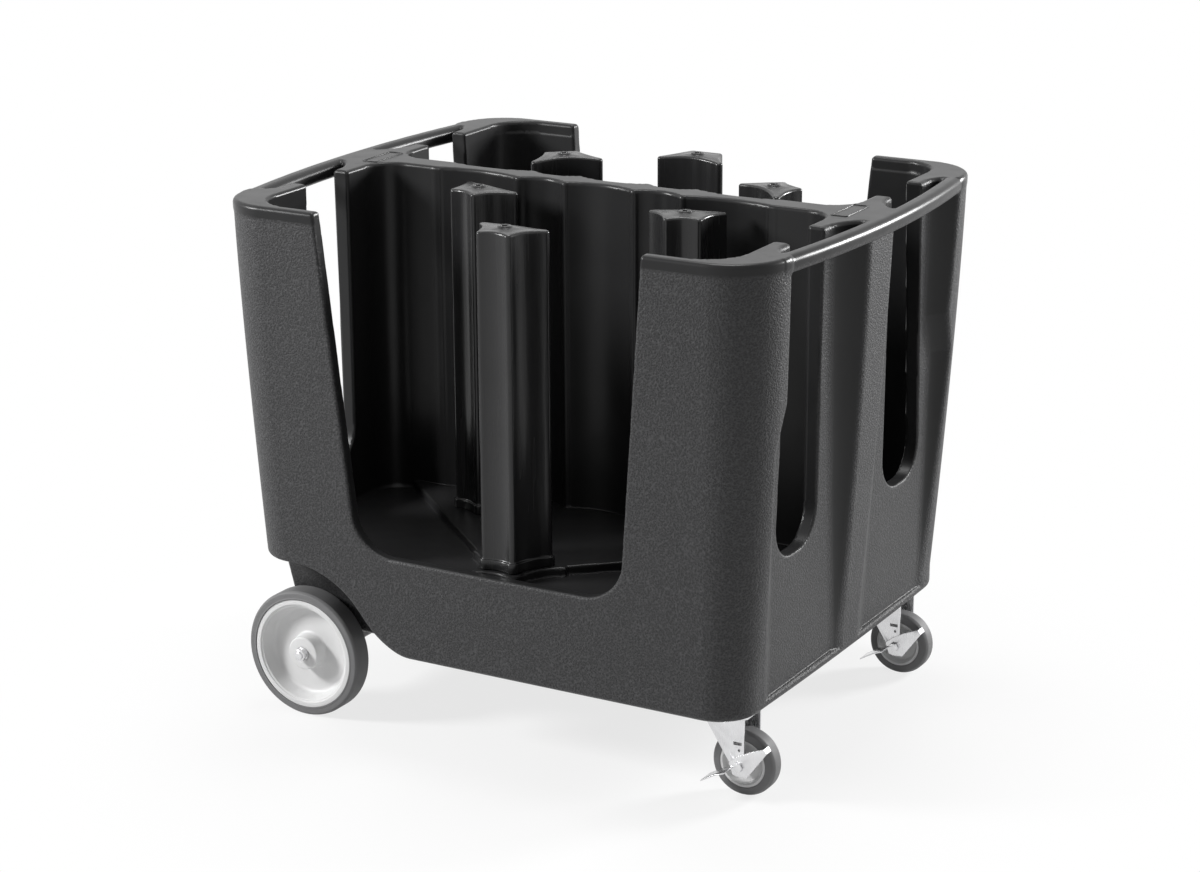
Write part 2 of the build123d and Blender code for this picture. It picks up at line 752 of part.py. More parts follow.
def caster_pin():
    """Hex bolt through the fork, the brake and the wheel."""
    head = brake_outer + brake_travel_gap
    tip = fork_half_width + 2 * caster_pin_radius
    pin = tube(caster_pin_radius, 0, -head, tip, caster_axle_x, caster_radius)
    cap = hexagon_along_y(2 * bolt_head_radius, -head - bolt_head_height, -head, caster_axle_x, caster_radius)
    return pin + cap


def caster_nut():
    start = fork_half_width
    stop = start + 1.6 * caster_pin_radius
    nut = hexagon_along_y(2 * bolt_head_radius, start, stop, caster_axle_x, caster_radius)
    return nut - tube(caster_pin_radius, 0, 0, big, caster_axle_x, caster_radius)


def caster_rim():
    half = caster_tyre_width / 2
    hub = leg_inner - side_play
    bore = caster_pin_radius + running_fit + bush_wall / 2
    ring = caster_rim_radius - rim_ring / 2
    points = (
        (bore, -hub), (caster_hub_radius, -hub), (caster_hub_radius, -caster_web), (ring - 3, -caster_web),
        (ring, -half), (caster_rim_radius, -half), (caster_rim_radius, half), (ring, half),
        (ring - 3, caster_web), (caster_hub_radius, caster_web), (caster_hub_radius, hub), (bore, hub),
    )
    return turned(points, caster_axle_x, caster_radius)


def caster_tyre():
    half = caster_tyre_width / 2
    return ring_tyre(
        caster_radius, caster_rim_radius, -half, half, caster_tyre_round, caster_axle_x, caster_radius,
    )


def caster_bush():
    hub = leg_inner - side_play
    bore = caster_pin_radius + running_fit
    return tube(bore + bush_wall / 2, bore, -hub, hub, caster_axle_x, caster_radius)


def around_pin(points):
    """Points given from the wheel's pin, in the part's own X and Z."""
    return [(caster_axle_x + x, caster_radius + z) for x, z in points]


def caster_brake():
    """Bent sheet on the wheel's pin: a cheek beside the fork, a foot tread and a shoe over the tyre."""
    reach = shoe_radius + brake_sheet
    low = radians_of(shoe_angle - shoe_span / 2)
    high = radians_of(shoe_angle + shoe_span / 2)
    tips = [(reach * cos(angle), reach * sin(angle)) for angle in (low, high)]
    solid = side_profile(around_pin((*cheek_low, *tips, cheek_notch)), -brake_outer, -brake_inner)
    bend = (0.4 * tread_length, 0.3 * tread_drop)
    top = ((0, 0), (-bend[0], -bend[1]), (-tread_length, -tread_drop))
    underneath = [(x, z - brake_sheet) for x, z in reversed(top)]
    start = bolt_head_radius + brake_sheet
    placed = around_pin([(x - start, z) for x, z in (*top, *underneath)])
    solid += side_profile(placed, -brake_outer - tread_reach, -brake_inner)
    shoe_end = shoe_reach - caster_tyre_width / 2
    shoe = tube(reach, shoe_radius, -brake_outer, shoe_end, caster_axle_x, caster_radius)
    wedge = around_pin([(0, 0), (big * cos(low), big * sin(low)), (big * cos(high), big * sin(high))])
    solid += shoe & side_profile(wedge, -big, big)
    return solid - tube(caster_pin_radius + running_fit, 0, -big, big, caster_axle_x, caster_radius)


def radians_of(angle):
    return angle * pi / 180


def caster_bolts():
    """Hex bolts that hold both plates, and the threaded inserts moulded into the deck for them."""
    bolts = []
    inserts = []
    for x, y in caster_bolt_places():
        head = Pos(x, y, plate_foot - bolt_head_height) * extrude(
            RegularPolygon(bolt_head_radius, 6, major_radius=False), bolt_head_height,
        )
        top = deck_underside + insert_length - skin / 2
        shank = Pos(x, y, (plate_foot + top) / 2) * Cylinder(plate_bolt_radius, top - plate_foot)
        bolts.append(head + shank)
        sleeve = Circle(insert_radius) - Circle(plate_bolt_radius)
        inserts.append(Pos(x, y, deck_underside) * extrude(sleeve, insert_length))
    return {"caster_bolts": Compound(children=bolts), "caster_inserts": Compound(children=inserts)}


def build_caster(name, side):
    parts = {
        "plate": caster_plate(), "kingpin": caster_kingpin(), "balls": caster_balls(), "fork": caster_fork(),
        "pin": caster_pin(), "nut": caster_nut(), "rim": caster_rim(), "tyre": caster_tyre(),
        "bush": caster_bush(), "brake": caster_brake(),
    }
    return {f"{name}_caster_{key}": Pos(0, side * caster_y, 0) * part for key, part in parts.items()}


# ---- dividers ---------------------------------------------------------------------------
def build_divider(x, out, bay_side, turn):
    """Hollow tower: pitched top with a collared hole, flanged foot, square plug under it."""
    shoulder = divider_height - divider_pitch
    tower = Pos(0, 0, landing_height) * extrude(divider_section(), divider_height - landing_height)
    reach = divider_wide + divider_tip
    pitch = make_face(Polyline((0, 0), (reach, 0), (reach, shoulder), (0, divider_height), close=True))
    tower &= revolve(Plane.XZ * pitch, Axis.Z)
    foot = divider_section(divider_foot_margin)
    bevel = divider_foot_margin * 0.6
    tower += Pos(0, 0, landing_height) * extrude(foot, divider_foot_height - bevel)
    tower += Pos(0, 0, landing_height) * extrude(divider_section(bevel), divider_foot_height)
    collar = Pos(0, 0, shoulder) * extrude(Circle(divider_collar), divider_pitch + divider_collar_height)
    tower += collar
    hollow_foot = landing_height + divider_foot_height
    hollow = extrude(divider_section(-divider_wall), shoulder - divider_wall - hollow_foot)
    tower -= Pos(0, 0, hollow_foot) * hollow
    plug = extrude(RectangleRounded(plug_size, plug_size, plug_round), plug_length)
    tower += Pos(0, 0, landing_height - plug_length) * plug
    tower -= Pos(0, 0, divider_height) * Cylinder(divider_hole, 2 * (divider_pitch + 2 * divider_wall))
    return divider_place(x, out, bay_side, turn) * tower


def build_all():
    parts = build_body()
    parts.update(rear_hardware())
    for name, side in wheel_places():
        parts[f"{name}_wheel_rim"] = mirrored_y(rear_rim(), side)
        parts[f"{name}_wheel_tyre"] = mirrored_y(rear_tyre(), side)
        parts[f"{name}_wheel_bush"] = mirrored_y(rear_bush(), side)
        parts.update(build_caster(name, side))
    parts.update(caster_bolts())
    for name, x, out, bay_side, turn in dividers:
        parts[name] = build_divider(x, out, bay_side, turn)
    return parts


os.makedirs("parts", exist_ok=True)
for node, shape in build_all().items():
    export_step(shape, f"parts/{node}.step")
    print(node, len(shape.solids()), "solids", round(shape.volume / 1000), "cm3")
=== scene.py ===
"""Looks of the plate dispenser cart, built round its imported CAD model.

The scene is in metres, in the CAD model's own frame. The sizes below are in millimetres."""

import bpy
import numpy as np
from mathutils import Matrix, Vector


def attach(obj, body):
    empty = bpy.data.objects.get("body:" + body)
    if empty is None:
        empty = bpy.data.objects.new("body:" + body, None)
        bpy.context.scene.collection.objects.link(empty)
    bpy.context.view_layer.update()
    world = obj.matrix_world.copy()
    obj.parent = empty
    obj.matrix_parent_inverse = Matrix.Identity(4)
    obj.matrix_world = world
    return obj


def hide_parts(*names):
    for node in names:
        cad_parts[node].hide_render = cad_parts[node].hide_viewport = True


bl_info = {
    "name": "Plate dispenser cart",
    "version": (1, 0, 0),
    "blender": (4, 5, 0),
    "location": "View3D > Sidebar > Plate cart",
    "description": "Builds the moulded body, dividers, wheels and casters of a plate dispenser cart",
    "category": "Add Mesh",
}

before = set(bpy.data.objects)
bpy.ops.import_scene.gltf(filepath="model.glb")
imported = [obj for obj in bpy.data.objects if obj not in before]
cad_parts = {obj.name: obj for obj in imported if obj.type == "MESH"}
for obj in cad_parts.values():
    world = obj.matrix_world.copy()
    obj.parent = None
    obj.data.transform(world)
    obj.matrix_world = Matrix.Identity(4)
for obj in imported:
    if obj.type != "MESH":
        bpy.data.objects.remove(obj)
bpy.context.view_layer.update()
MM = 0.001
ENDS = (("near", -1.0), ("far", 1.0))

# ---- sizes of the moulding, in millimetres, the same as the solids' -----------------------
RIM = 806.0
UNDERSIDE, UNDERSIDE_ROUND = 133.0, 12.0
SKIRT_TOP = 169.0
SIDE_RIM, SIDE_SKIRT = 385.0, 360.0
END_RIM, END_DRAFT, END_POWER, END_BOW = 450.0, 39.0, 1.35, 6.0
CORNER_RIM, CORNER_SKIRT = 85.0, 62.0
WALL = 20.0
FLOOR, LANDING = 276.0, 290.0
BAY_END = 390.0
BAY_OUTER_ROUND, BAY_INNER_ROUND = 62.0, 45.0
MOUTH_TOP, MOUTH_FOOT, MOUTH_ROUND = 269.0, 223.0, 60.0
SLOT_NEAR, SLOT_FAR, SLOT_FAR_RIM, SLOT_FOOT, SLOT_ROUND = 116.0, 249.0, 222.0, 345.0, 56.0
PANEL_FOOT, PANEL_RIM = 409.0, 417.0
RECESS_FOOT, RECESS_ROUND, RECESS_IN_SLOPE, RECESS_OUT_SLOPE = 150.0, 28.0, 0.7, 0.4
# heights, and where the recess's two flanks leave the panel
RECESS_Z = (150.0, 376.0, 530.0, 595.0, 806.0)
RECESS_IN = (28.0, 50.0, 59.0, 62.0, 70.0)
RECESS_OUT = (284.0, 287.0, 291.0, 266.0, 274.0)
RIM_ROLL, RIM_BAND, BAND_STEP, BAND_FADE = 7.0, 17.0, 0.7, 2.5
PILLAR_EDGE, ARCH_EDGE, ARCH_EDGE_FADE = 7.0, 7.0, 24.0
RAIL_OUT, RAIL_BOW, RAIL_SPAN, RAIL_WIDTH, RAIL_DEPTH, RAIL_ROUND = 474.0, 21.0, 292.0, 28.0, 26.0, 11.0
RAIL_RUN_ON, RAIL_FILLET = 14.0, 5.0
WELL_WALL, WELL_ROUND, ARCH, ARCH_TOP, ARCH_FLARE = 295.0, 10.0, 147.0, 253.0, 60.0
LOWER_END_FOOT, LOWER_END_TOP, LOWER_END_EDGE = 377.0, 409.0, 6.0
AXLE_X, WHEEL_Z = -345.0, 100.0
HUMP_HALF, HUMP_FOOT, HUMP_LEAN, HUMP_EDGE, HUMP_FILLET = 42.0, 84.0, 0.305, 9.0, 7.0
CASTER_Y, CASTER_AXLE_X, CASTER_Z = 272.0, 383.0, 50.0
# partition: half thicknesses, where its ridges and flats are along X, and how wide their meetings are blended
RIDGE, WAIST, FLAT = 27.0, 13.0, 23.0
RIDGE_INNER, RIDGE_OUTER, FLAT_START = 60.0, 140.0, 285.0
FLAT_LEAN, RIDGE_BLEND, FLAT_BLEND = 0.5, 8.0, 4.0
# raised floor: a straight edge from its apex down to its foot at its reach, and its side
LANDING_APEX, LANDING_FOOT, LANDING_REACH, LANDING_SIDE = 330.0, 13.0, 355.0, 345.0
FLOOR_ROUND, LANDING_EDGE, LANDING_FILLET, LANDING_SUNK = 7.0, 3.0, 2.0, 30.0
MOUTH_START, SLOT_START = 318.0, 372.0
# what the moulding's grid covers along X, Y and Z
GRID_LIMITS = ((-486.0, 486.0), (-396.0, 396.0), (74.0, 816.0))
MOST_TRIANGLES, THINNED_TRIANGLES = 190000, 188000

# name of the divider's node, place, turn of its wide side in degrees
DIVIDERS = (
    ("near_left", -176.0, -80.0, 162.0),
    ("near_centre", 0.0, -293.0, 180.0),
    ("near_right", 180.0, -86.0, 200.0),
    ("far_left", -186.0, 193.0, 40.0),
    ("far_centre", 0.0, 293.0, 0.0),
    ("far_right", 212.0, 138.0, -34.0),
)
TIPS = ((-51.5, -25.0), (51.5, -25.0), (23.0, 29.0), (-23.0, 29.0))
TIP_ROUND = 6.0
SAGS = (10.0, 5.0, 5.0, 5.0)
DIVIDER_TOP, DIVIDER_PITCH = 798.0, 5.0
FOOT_MARGIN, LANDING_MARGIN = 3.5, 7.0
PLUG, PLUG_LENGTH, PLUG_ROUND, PLUG_FIT, PLUG_EDGE = 44.0, 22.0, 8.0, 0.35, 1.5
DIVIDER_GIRTH = 75.0
FOOT_HEIGHT, FOOT_LOW_ROUND, FOOT_HIGH_ROUND, FOOT_SPREAD, FOOT_CURVE = 15.0, 1.2, 2.0, 1.5, 3.0
STRAIGHT_MARGIN = 30.0
COLLAR, COLLAR_FOOT, COLLAR_HEIGHT, TOP_SAG, HOLE, HOLE_DEPTH = 10.0, 10.5, 1.5, 0.6, 5.5, 13.0

# rear wheels: radii, then places along the axle from the middle of the cart
DISC_BORE, DISC_BOSS, DISC_WEB, DISC_RING, DISC = 10.1, 26.0, 69.0, 78.5, 86.5
HUB_BACK, HUB_FACE, HUB_CHAMFER = 297.3, 340.0, 0.8
RING_BACK, RING_FACE, WEB_BACK, WEB_FACE = 305.0, 341.0, 313.0, 318.0
TYRE, TYRE_MIDDLE, TYRE_HALF = 100.0, 323.0, 19.0
# casters' wheels: radii, then half widths
SMALL_BORE, SMALL_HUB, SMALL_WEB, SMALL_RING, SMALL_DISC, SMALL_TYRE = 6.1, 13.0, 28.5, 32.0, 36.0, 50.0
SMALL_HUB_HALF, SMALL_WEB_HALF, SMALL_RING_HALF, SMALL_TYRE_HALF = 24.2, 6.0, 15.6, 16.0

# bare label frames: middle along X, half sizes, corner radius, and the bar's section as inset and height
LABEL_X, LABEL_HALF_X, LABEL_HALF_Y, LABEL_ROUND = 402.0, 12.0, 38.5, 2.5
LABEL_BAR = ((-1.5, -0.5), (-1.5, 0.5), (-1.0, 1.1), (0.0, 1.2), (1.0, 1.1), (1.5, 0.5), (1.5, -0.5))


# ---- settings that a user may change ------------------------------------------------------
class PlateCartBody(bpy.types.PropertyGroup):
    colour: bpy.props.FloatVectorProperty(
        name="Colour", description="Colour of the moulded body", subtype="COLOR", size=3, min=0, max=1,
        default=(0.044, 0.044, 0.0452),
    )
    edge: bpy.props.FloatProperty(
        name="Edge radius", description="Rounding of the body's free edges", default=0.0042, unit="LENGTH",
    )
    grain_size: bpy.props.FloatProperty(
        name="Grain size", description="Size of the orange peel on the outer faces", default=0.0029,
        unit="LENGTH",
    )
    grain_depth: bpy.props.FloatProperty(
        name="Grain depth", description="Depth of the orange peel", default=0.0012, unit="LENGTH",
    )
    mesh_step: bpy.props.FloatProperty(
        name="Mesh step", description="Spacing of the grid that the moulding is worked out on",
        default=0.004, unit="LENGTH",
    )


class PlateCartDividers(bpy.types.PropertyGroup):
    colour: bpy.props.FloatVectorProperty(
        name="Colour", description="Colour of the lift-out dividers", subtype="COLOR", size=3, min=0, max=1,
        default=(0.018, 0.018, 0.0185),
    )
    edge: bpy.props.FloatProperty(
        name="Top edge radius", description="Rounding of each divider's top edge", default=0.0035,
        unit="LENGTH",
    )


class PlateCartWheels(bpy.types.PropertyGroup):
    disc_colour: bpy.props.FloatVectorProperty(
        name="Disc colour", description="Colour of the wheels' plastic discs", subtype="COLOR", size=3, min=0,
        max=1, default=(0.64, 0.64, 0.64),
    )
    tyre_colour: bpy.props.FloatVectorProperty(
        name="Tyre colour", description="Colour of the rubber tyres", subtype="COLOR", size=3, min=0, max=1,
        default=(0.135, 0.135, 0.137),
    )
    zinc_colour: bpy.props.FloatVectorProperty(
        name="Zinc colour", description="Colour of the zinc-plated fittings", subtype="COLOR", size=3, min=0,
        max=1, default=(0.74, 0.74, 0.75),
    )


class PlateCartStage(bpy.types.PropertyGroup):
    key_power: bpy.props.FloatProperty(
        name="Key light", description="Power of the left softbox, which the others follow", default=170.0,
        unit="POWER",
    )
    fill_level: bpy.props.FloatProperty(
        name="Fill level", description="Brightness of the even light from all round", default=0.14,
        subtype="FACTOR",
    )


# ---- shader helpers -----------------------------------------------------------------------
class Value:
    """A number socket that takes part in ordinary arithmetic: each operation adds its Math node."""

    def __init__(self, net, socket):
        self.net = net
        self.socket = socket

    def _math(self, operation, *operands):
        return self.net.make("ShaderNodeMath", {"operation": operation}, dict(enumerate(operands)))

    def __add__(self, other):
        return self._math("ADD", self, other)

    __radd__ = __add__

    def __mul__(self, other):
        return self._math("MULTIPLY", self, other)

    __rmul__ = __mul__


class Net:
    """A material's node tree with one method that makes any node."""

    def __init__(self, name):
        self.material = bpy.data.materials.new(name)
        self.material.use_nodes = True
        self.tree = self.material.node_tree
        self.tree.nodes.clear()
        self.position = self.output("ShaderNodeTexCoord", {}, {}, "Object")

    def build(self, kind, settings, inputs):
        """Makes a node: its settings first, then the values or links of its sockets."""
        node = self.tree.nodes.new(kind)
        for key, value in settings.items():
            setattr(node, key, value)
        for key, value in inputs.items():
            if isinstance(value, Value):
                self.tree.links.new(value.socket, node.inputs[key])
            else:
                node.inputs[key].default_value = value
        return node

    def output(self, kind, settings, inputs, name):
        return Value(self, self.build(kind, settings, inputs).outputs[name])

    def make(self, kind, settings, inputs):
        return self.output(kind, settings, inputs, 0)

    def noise(self, size, detail=2.0, stretch=(1.0, 1.0, 1.0), roughness=0.5):
        """Noise from 0 to 1 whose lumps are about size metres across, and longer where stretch is under 1."""
        place = self.make("ShaderNodeMapping", {}, {"Vector": self.position, "Scale": stretch})
        return self.make(
            "ShaderNodeTexNoise", {},
            {"Vector": place, "Scale": 1.0 / size, "Detail": detail, "Roughness": roughness},
        )

    def cells(self, size, smoothness=0.6):
        """Distance from the middle of rounded cells about size metres across."""
        return self.make(
            "ShaderNodeTexVoronoi", {"feature": "SMOOTH_F1"},
            {"Vector": self.position, "Scale": 1.0 / size, "Smoothness": smoothness},
        )

    def ramp(self, value, low, high, start=0.0, end=1.0):
        """value carried from the range low to high to the range start to end, and held there."""
        return self.make(
            "ShaderNodeMapRange", {"clamp": True},
            {"Value": value, "From Min": low, "From Max": high, "To Min": start, "To Max": end},
        )

    def mix(self, factor, first, second):
        """A colour between two colours."""
        return self.output(
            "ShaderNodeMix", {"data_type": "RGBA"}, {0: factor, 6: first, 7: second}, 2,
        )

    def attribute(self, name):
        return self.output("ShaderNodeAttribute", {"attribute_name": name}, {}, "Fac")

    def bump(self, height, distance):
        return self.make("ShaderNodeBump", {}, {"Height": height, "Distance": distance, "Strength": 1.0})

    def surface(self, **sockets):
        """A plain surface; each keyword is a socket's name in small letters."""
        names = {key.replace("_", " ").title().replace("Ior", "IOR"): value for key, value in sockets.items()}
        shader = self.make("ShaderNodeBsdfPrincipled", {}, names)
        self.build("ShaderNodeOutputMaterial", {}, {"Surface": shader})
        return self.material


def shade(colour, factor):
    """A colour made darker or lighter, with full cover."""
    return tuple(min(1.0, part * factor) for part in colour) + (1.0,)


def body_plastic(settings):
    """Dark moulded plastic: orange peel where the mask attribute is 1; smooth and painted darker where it is
    0, partly the smooth skin's own darker tone and partly painted shade of the interior and recesses.
    The peel's colour follows its height: its tops are painted lighter and its dips darker, as painted sparkle
    highlights on the grain. Faint waves, clouds and scuffs run over both."""
    net = Net("body_plastic")
    grain_and_shade = net.attribute("grain_and_shade")
    size = settings.grain_size
    peel = net.cells(size) * 0.75 + net.noise(size * 0.6, 3.0) * 0.5 + net.noise(size * 2.6, 1.0) * 0.06
    waves = net.noise(0.06, 1.0)
    clouds = net.noise(0.17, 3.0)
    scuffs = net.ramp(net.noise(0.05, 5.0, roughness=0.7), 0.56, 0.72)
    height = peel * grain_and_shade + waves * 0.8
    # painted highlight: the peel's raised tops are painted up to 1.6 times the body colour and its dips
    # darker, as painted sparkle of light on the grain
    outside = net.mix(net.ramp(peel, 0.45, 1.0), shade(settings.colour, 0.65), shade(settings.colour, 1.6))
    # painted shade: where the mask is 0 the colour falls to a third to a half of the body colour, partly the
    # smooth skin's own tone and partly painted shade inside the bays and recesses
    inside = net.mix(clouds, shade(settings.colour, 0.32), shade(settings.colour, 0.48))
    colour = net.mix(grain_and_shade, inside, outside)
    roughness = grain_and_shade * 0.16 + 0.32 + net.ramp(clouds, 0.3, 0.7, -0.03, 0.03) + scuffs * 0.05
    return net.surface(
        base_color=colour, roughness=roughness, normal=net.bump(height, settings.grain_depth), ior=1.5,
        specular_ior_level=0.22,
    )


def divider_plastic(settings):
    """Glossy black plastic with faint upright flow marks."""
    net = Net("divider_plastic")
    flow = net.noise(0.012, 2.0, stretch=(1.0, 1.0, 0.06))
    clouds = net.noise(0.08, 2.0)
    colour = net.mix(clouds, shade(settings.colour, 0.8), shade(settings.colour, 1.2))
    roughness = net.ramp(flow, 0.3, 0.7, 0.2, 0.3)
    return net.surface(
        base_color=colour, roughness=roughness, normal=net.bump(flow + clouds, 0.0003), ior=1.5,
        specular_ior_level=0.36,
    )


def disc_plastic(settings):
    """Pale grey nylon with a fine matt skin."""
    net = Net("wheel_plastic")
    clouds = net.noise(0.03, 3.0)
    skin = net.noise(0.0011, 2.0)
    colour = net.mix(clouds, shade(settings.disc_colour, 0.94), shade(settings.disc_colour, 1.05))
    roughness = net.ramp(clouds, 0.3, 0.7, 0.4, 0.5)
    return net.surface(base_color=colour, roughness=roughness, normal=net.bump(skin, 0.00006))


def tyre_rubber(settings):
    """Mid grey rubber, a little dusty, with a fine tooth."""
    net = Net("tyre_rubber")
    dust = net.noise(0.025, 4.0, roughness=0.65)
    tooth = net.noise(0.0009, 2.0)
    colour = net.mix(dust, shade(settings.tyre_colour, 0.85), shade(settings.tyre_colour, 1.2))
    roughness = net.ramp(dust, 0.3, 0.7, 0.55, 0.72)
    return net.surface(base_color=colour, roughness=roughness, normal=net.bump(tooth, 0.00008))


def zinc_plate(settings):
    """Bright zinc-plated steel, softly brushed and slightly cloudy."""
    net = Net("zinc_steel")
    brush = net.noise(0.004, 3.0, stretch=(1.0, 1.0, 0.08))
    clouds = net.noise(0.015, 3.0)
    colour = net.mix(clouds, shade(settings.zinc_colour, 0.88), shade(settings.zinc_colour, 1.06))
    roughness = net.ramp(brush, 0.3, 0.7, 0.2, 0.34)
    return net.surface(
        base_color=colour, metallic=1.0, roughness=roughness, normal=net.bump(brush, 0.00003),
    )


def hidden_brass():
    """Turned brass of the threaded inserts."""
    net = Net("brass_insert")
    turned = net.noise(0.002, 2.0, stretch=(0.2, 0.2, 1.0))
    colour = net.mix(turned, (0.55, 0.4, 0.18, 1.0), (0.72, 0.56, 0.28, 1.0))
    return net.surface(base_color=colour, metallic=1.0, roughness=net.ramp(turned, 0.3, 0.7, 0.25, 0.4))


# ---- mesh helpers -------------------------------------------------------------------------
def new_piece(name, vertices, faces, material, body, nodes=()):
    """A mesh object at the origin: vertices in millimetres, faces as lists of corners."""
    mesh = bpy.data.meshes.new(name)
    mesh.from_pydata((vertices * MM).tolist(), [], faces)
    mesh.validate()
    mesh.shade_smooth()
    mesh.materials.append(material)
    piece = bpy.data.objects.new(name, mesh)
    bpy.context.scene.collection.objects.link(piece)
    settle(piece, body, nodes)
    return piece


def settle(piece, body, nodes):
    """The piece rides on its body, and stands for its nodes."""
    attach(piece, body)
    if nodes:
        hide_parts(*nodes)


def grid_faces(rows, columns, closed_rows=False):
    """Corners of the quads of a grid whose columns close into a ring, and whose rows may too."""
    down = np.arange(rows if closed_rows else rows - 1)[:, None]
    across = np.arange(columns)[None, :]
    below = (down + 1) % rows
    right = (across + 1) % columns
    here, under = down * columns, below * columns
    return np.stack((here + across, here + right, under + right, under + across), -1).reshape(-1, 4)


def rounded_line(corners, radii, steps=6):
    """A closed outline with its corners rounded: each is an arc between the points where a circle of that
    radius touches its two sides. The arc's points blend its ends and its corner, by a weighted parabola."""
    corners = np.asarray(corners, float)
    before = np.roll(corners, 1, 0) - corners
    after = np.roll(corners, -1, 0) - corners
    before_length = np.linalg.norm(before, axis=1, keepdims=True)
    after_length = np.linalg.norm(after, axis=1, keepdims=True)
    before = before / before_length
    after = after / after_length
    cosine = np.clip((before * after).sum(1), -0.999, 0.999)
    reach = np.asarray(radii, float) / np.tan(np.arccos(cosine) / 2)
    reach = np.minimum(reach, 0.48 * np.minimum(before_length, after_length)[:, 0])[:, None]
    t = np.linspace(0.0, 1.0, steps)[None, :, None]
    start = (corners + before * reach)[:, None]
    end = (corners + after * reach)[:, None]
    middle = corners[:, None]
    weight = np.sqrt((1 - cosine) / 2)[:, None, None]
    mass = (1 - t) ** 2 + 2 * weight * t * (1 - t) + t ** 2
    points = ((1 - t) ** 2 * start + 2 * weight * t * (1 - t) * middle + t ** 2 * end) / mass
    return points.reshape(-1, 2)


def mirrored(half, radii):
    """The corners and radii of an outline that is alike on both sides, from those of its one half."""
    half = np.array(half)
    return np.concatenate((half * (1, -1), half[::-1])), (*radii, *radii[::-1])


def turned_ring(outline, centre, segments):
    """A closed outline of (radius, place along Y) carried round an axle along Y: x and z are the radius times
    the cosine and sine of the angle."""
    angle = np.linspace(0, 2 * np.pi, segments, endpoint=False)[:, None]
    radius = outline[None, :, 0]
    x = centre[0] + radius * np.cos(angle)
    z = centre[2] + radius * np.sin(angle)
    y = np.broadcast_to(centre[1] + outline[None, :, 1], x.shape)
    vertices = np.stack((x, y, z), -1).reshape(-1, 3)
    area = np.sum(outline[:, 0] * np.roll(outline[:, 1], -1) - np.roll(outline[:, 0], -1) * outline[:, 1])
    faces = grid_faces(segments, len(outline), closed_rows=True)
    return vertices, faces if area > 0 else faces[:, ::-1]


# ---- the moulding as a field --------------------------------------------------------------
def both(a, b, radius):
    """Inside both a and b (negative is inside), with their meeting edge rounded to a true radius."""
    edge = np.hypot(np.maximum(a + radius, 0), np.maximum(b + radius, 0))
    return np.minimum(-radius, np.maximum(a, b)) + edge


def either(a, b, radius):
    """Inside a or b, with a fillet of that radius where they meet."""
    return -both(-a, -b, radius)


def without(a, b, radius):
    """a with b cut out of it, and the cut's edge rounded."""
    return both(a, -b, radius)


def rounded(a, b, radius):
    """Inside both a and b with a round corner, and true distances outside it."""
    a, b = a + radius, b + radius
    return np.hypot(np.maximum(a, 0), np.maximum(b, 0)) + np.minimum(np.maximum(a, b), 0) - radius


def block_field(u, v, z):
    """The outer block: a rounded rectangle in plan whose half sizes follow the height, with bowed ends and a
    rolled rim. u and v are the distances from the middle planes."""
    share = np.clip((z - SKIRT_TOP) / (RIM - SKIRT_TOP), 0.0, 1.0)
    band = np.clip((RIM - RIM_BAND - z) / BAND_FADE, 0.0, 1.0) * BAND_STEP
    width = SIDE_SKIRT + (SIDE_RIM - SIDE_SKIRT) * share - band
    length = END_RIM - END_DRAFT * (1 - share) ** END_POWER - band
    length = length + END_BOW * np.clip(1 - (v / width) ** 2, 0.0, 1.0)
    corner = CORNER_SKIRT + (CORNER_RIM - CORNER_SKIRT) * share
    return both(rounded(u - length, v - width, corner), z - RIM, RIM_ROLL), width


def shell_field(x, v, z, block):
    """The block with its underside and its two wheel arches: a round arch, level behind it, runs out into the
    underside in one large radius. Between the arches the block goes down as a narrower box."""
    arch = np.minimum(np.hypot(x - AXLE_X, z - ARCH_TOP + ARCH) - ARCH, np.maximum(x - AXLE_X, z - ARCH_TOP))
    below = UNDERSIDE - z
    edge = ARCH_EDGE + (UNDERSIDE_ROUND - ARCH_EDGE) * np.clip((SKIRT_TOP - z) / ARCH_EDGE_FADE, 0.0, 1.0)
    outer = both(block, both(-arch, below, ARCH_FLARE), edge)
    inner = both(both(block, below, UNDERSIDE_ROUND), v - WELL_WALL, WELL_ROUND)
    return np.minimum(inner, outer)


def hollow(u, start, stop, first, last):
    """A parabola along X between ridges of half thickness first and last, down to the waist."""
    place = (2 * u - start - stop) / (stop - start)
    level = (first + last) / 2
    return level + (last - first) / 2 * place - (level - WAIST) * (1 - place ** 2)


def partition_half(u):
    """Half thickness of the partition: parabolic hollows between upright ridges, then a flat."""
    inner = hollow(u, -RIDGE_INNER, RIDGE_INNER, RIDGE, RIDGE)
    middle = hollow(u, RIDGE_INNER, RIDGE_OUTER, RIDGE, RIDGE)
    outer = hollow(u, RIDGE_OUTER, FLAT_START, RIDGE, FLAT)
    flat = FLAT + np.maximum(0.0, FLAT_START - u) * FLAT_LEAN
    return blended(blended(inner, middle, RIDGE_BLEND), blended(outer, flat, FLAT_BLEND), RIDGE_BLEND)


def blended(a, b, width):
    """The lower of a and b, with the ridge where they cross rounded over a width."""
    share = np.clip(0.5 + 0.5 * (b - a) / width, 0.0, 1.0)
    return b + (a - b) * share - width * share * (1 - share) * 0.25


def divider_side(number):
    """One hollow side of a divider: its two tips' centres, and its arc's centre and radius."""
    first, last = np.array(TIPS[number]), np.array(TIPS[(number + 1) % len(TIPS)])
    half = np.linalg.norm(last - first) / 2
    outward = np.array((last[1] - first[1], first[0] - last[0])) / (2 * half)
    sag = SAGS[number]
    reach = (half ** 2 + sag ** 2) / (2 * sag)
    return first, last, (first + last) / 2 + outward * (reach - sag), reach


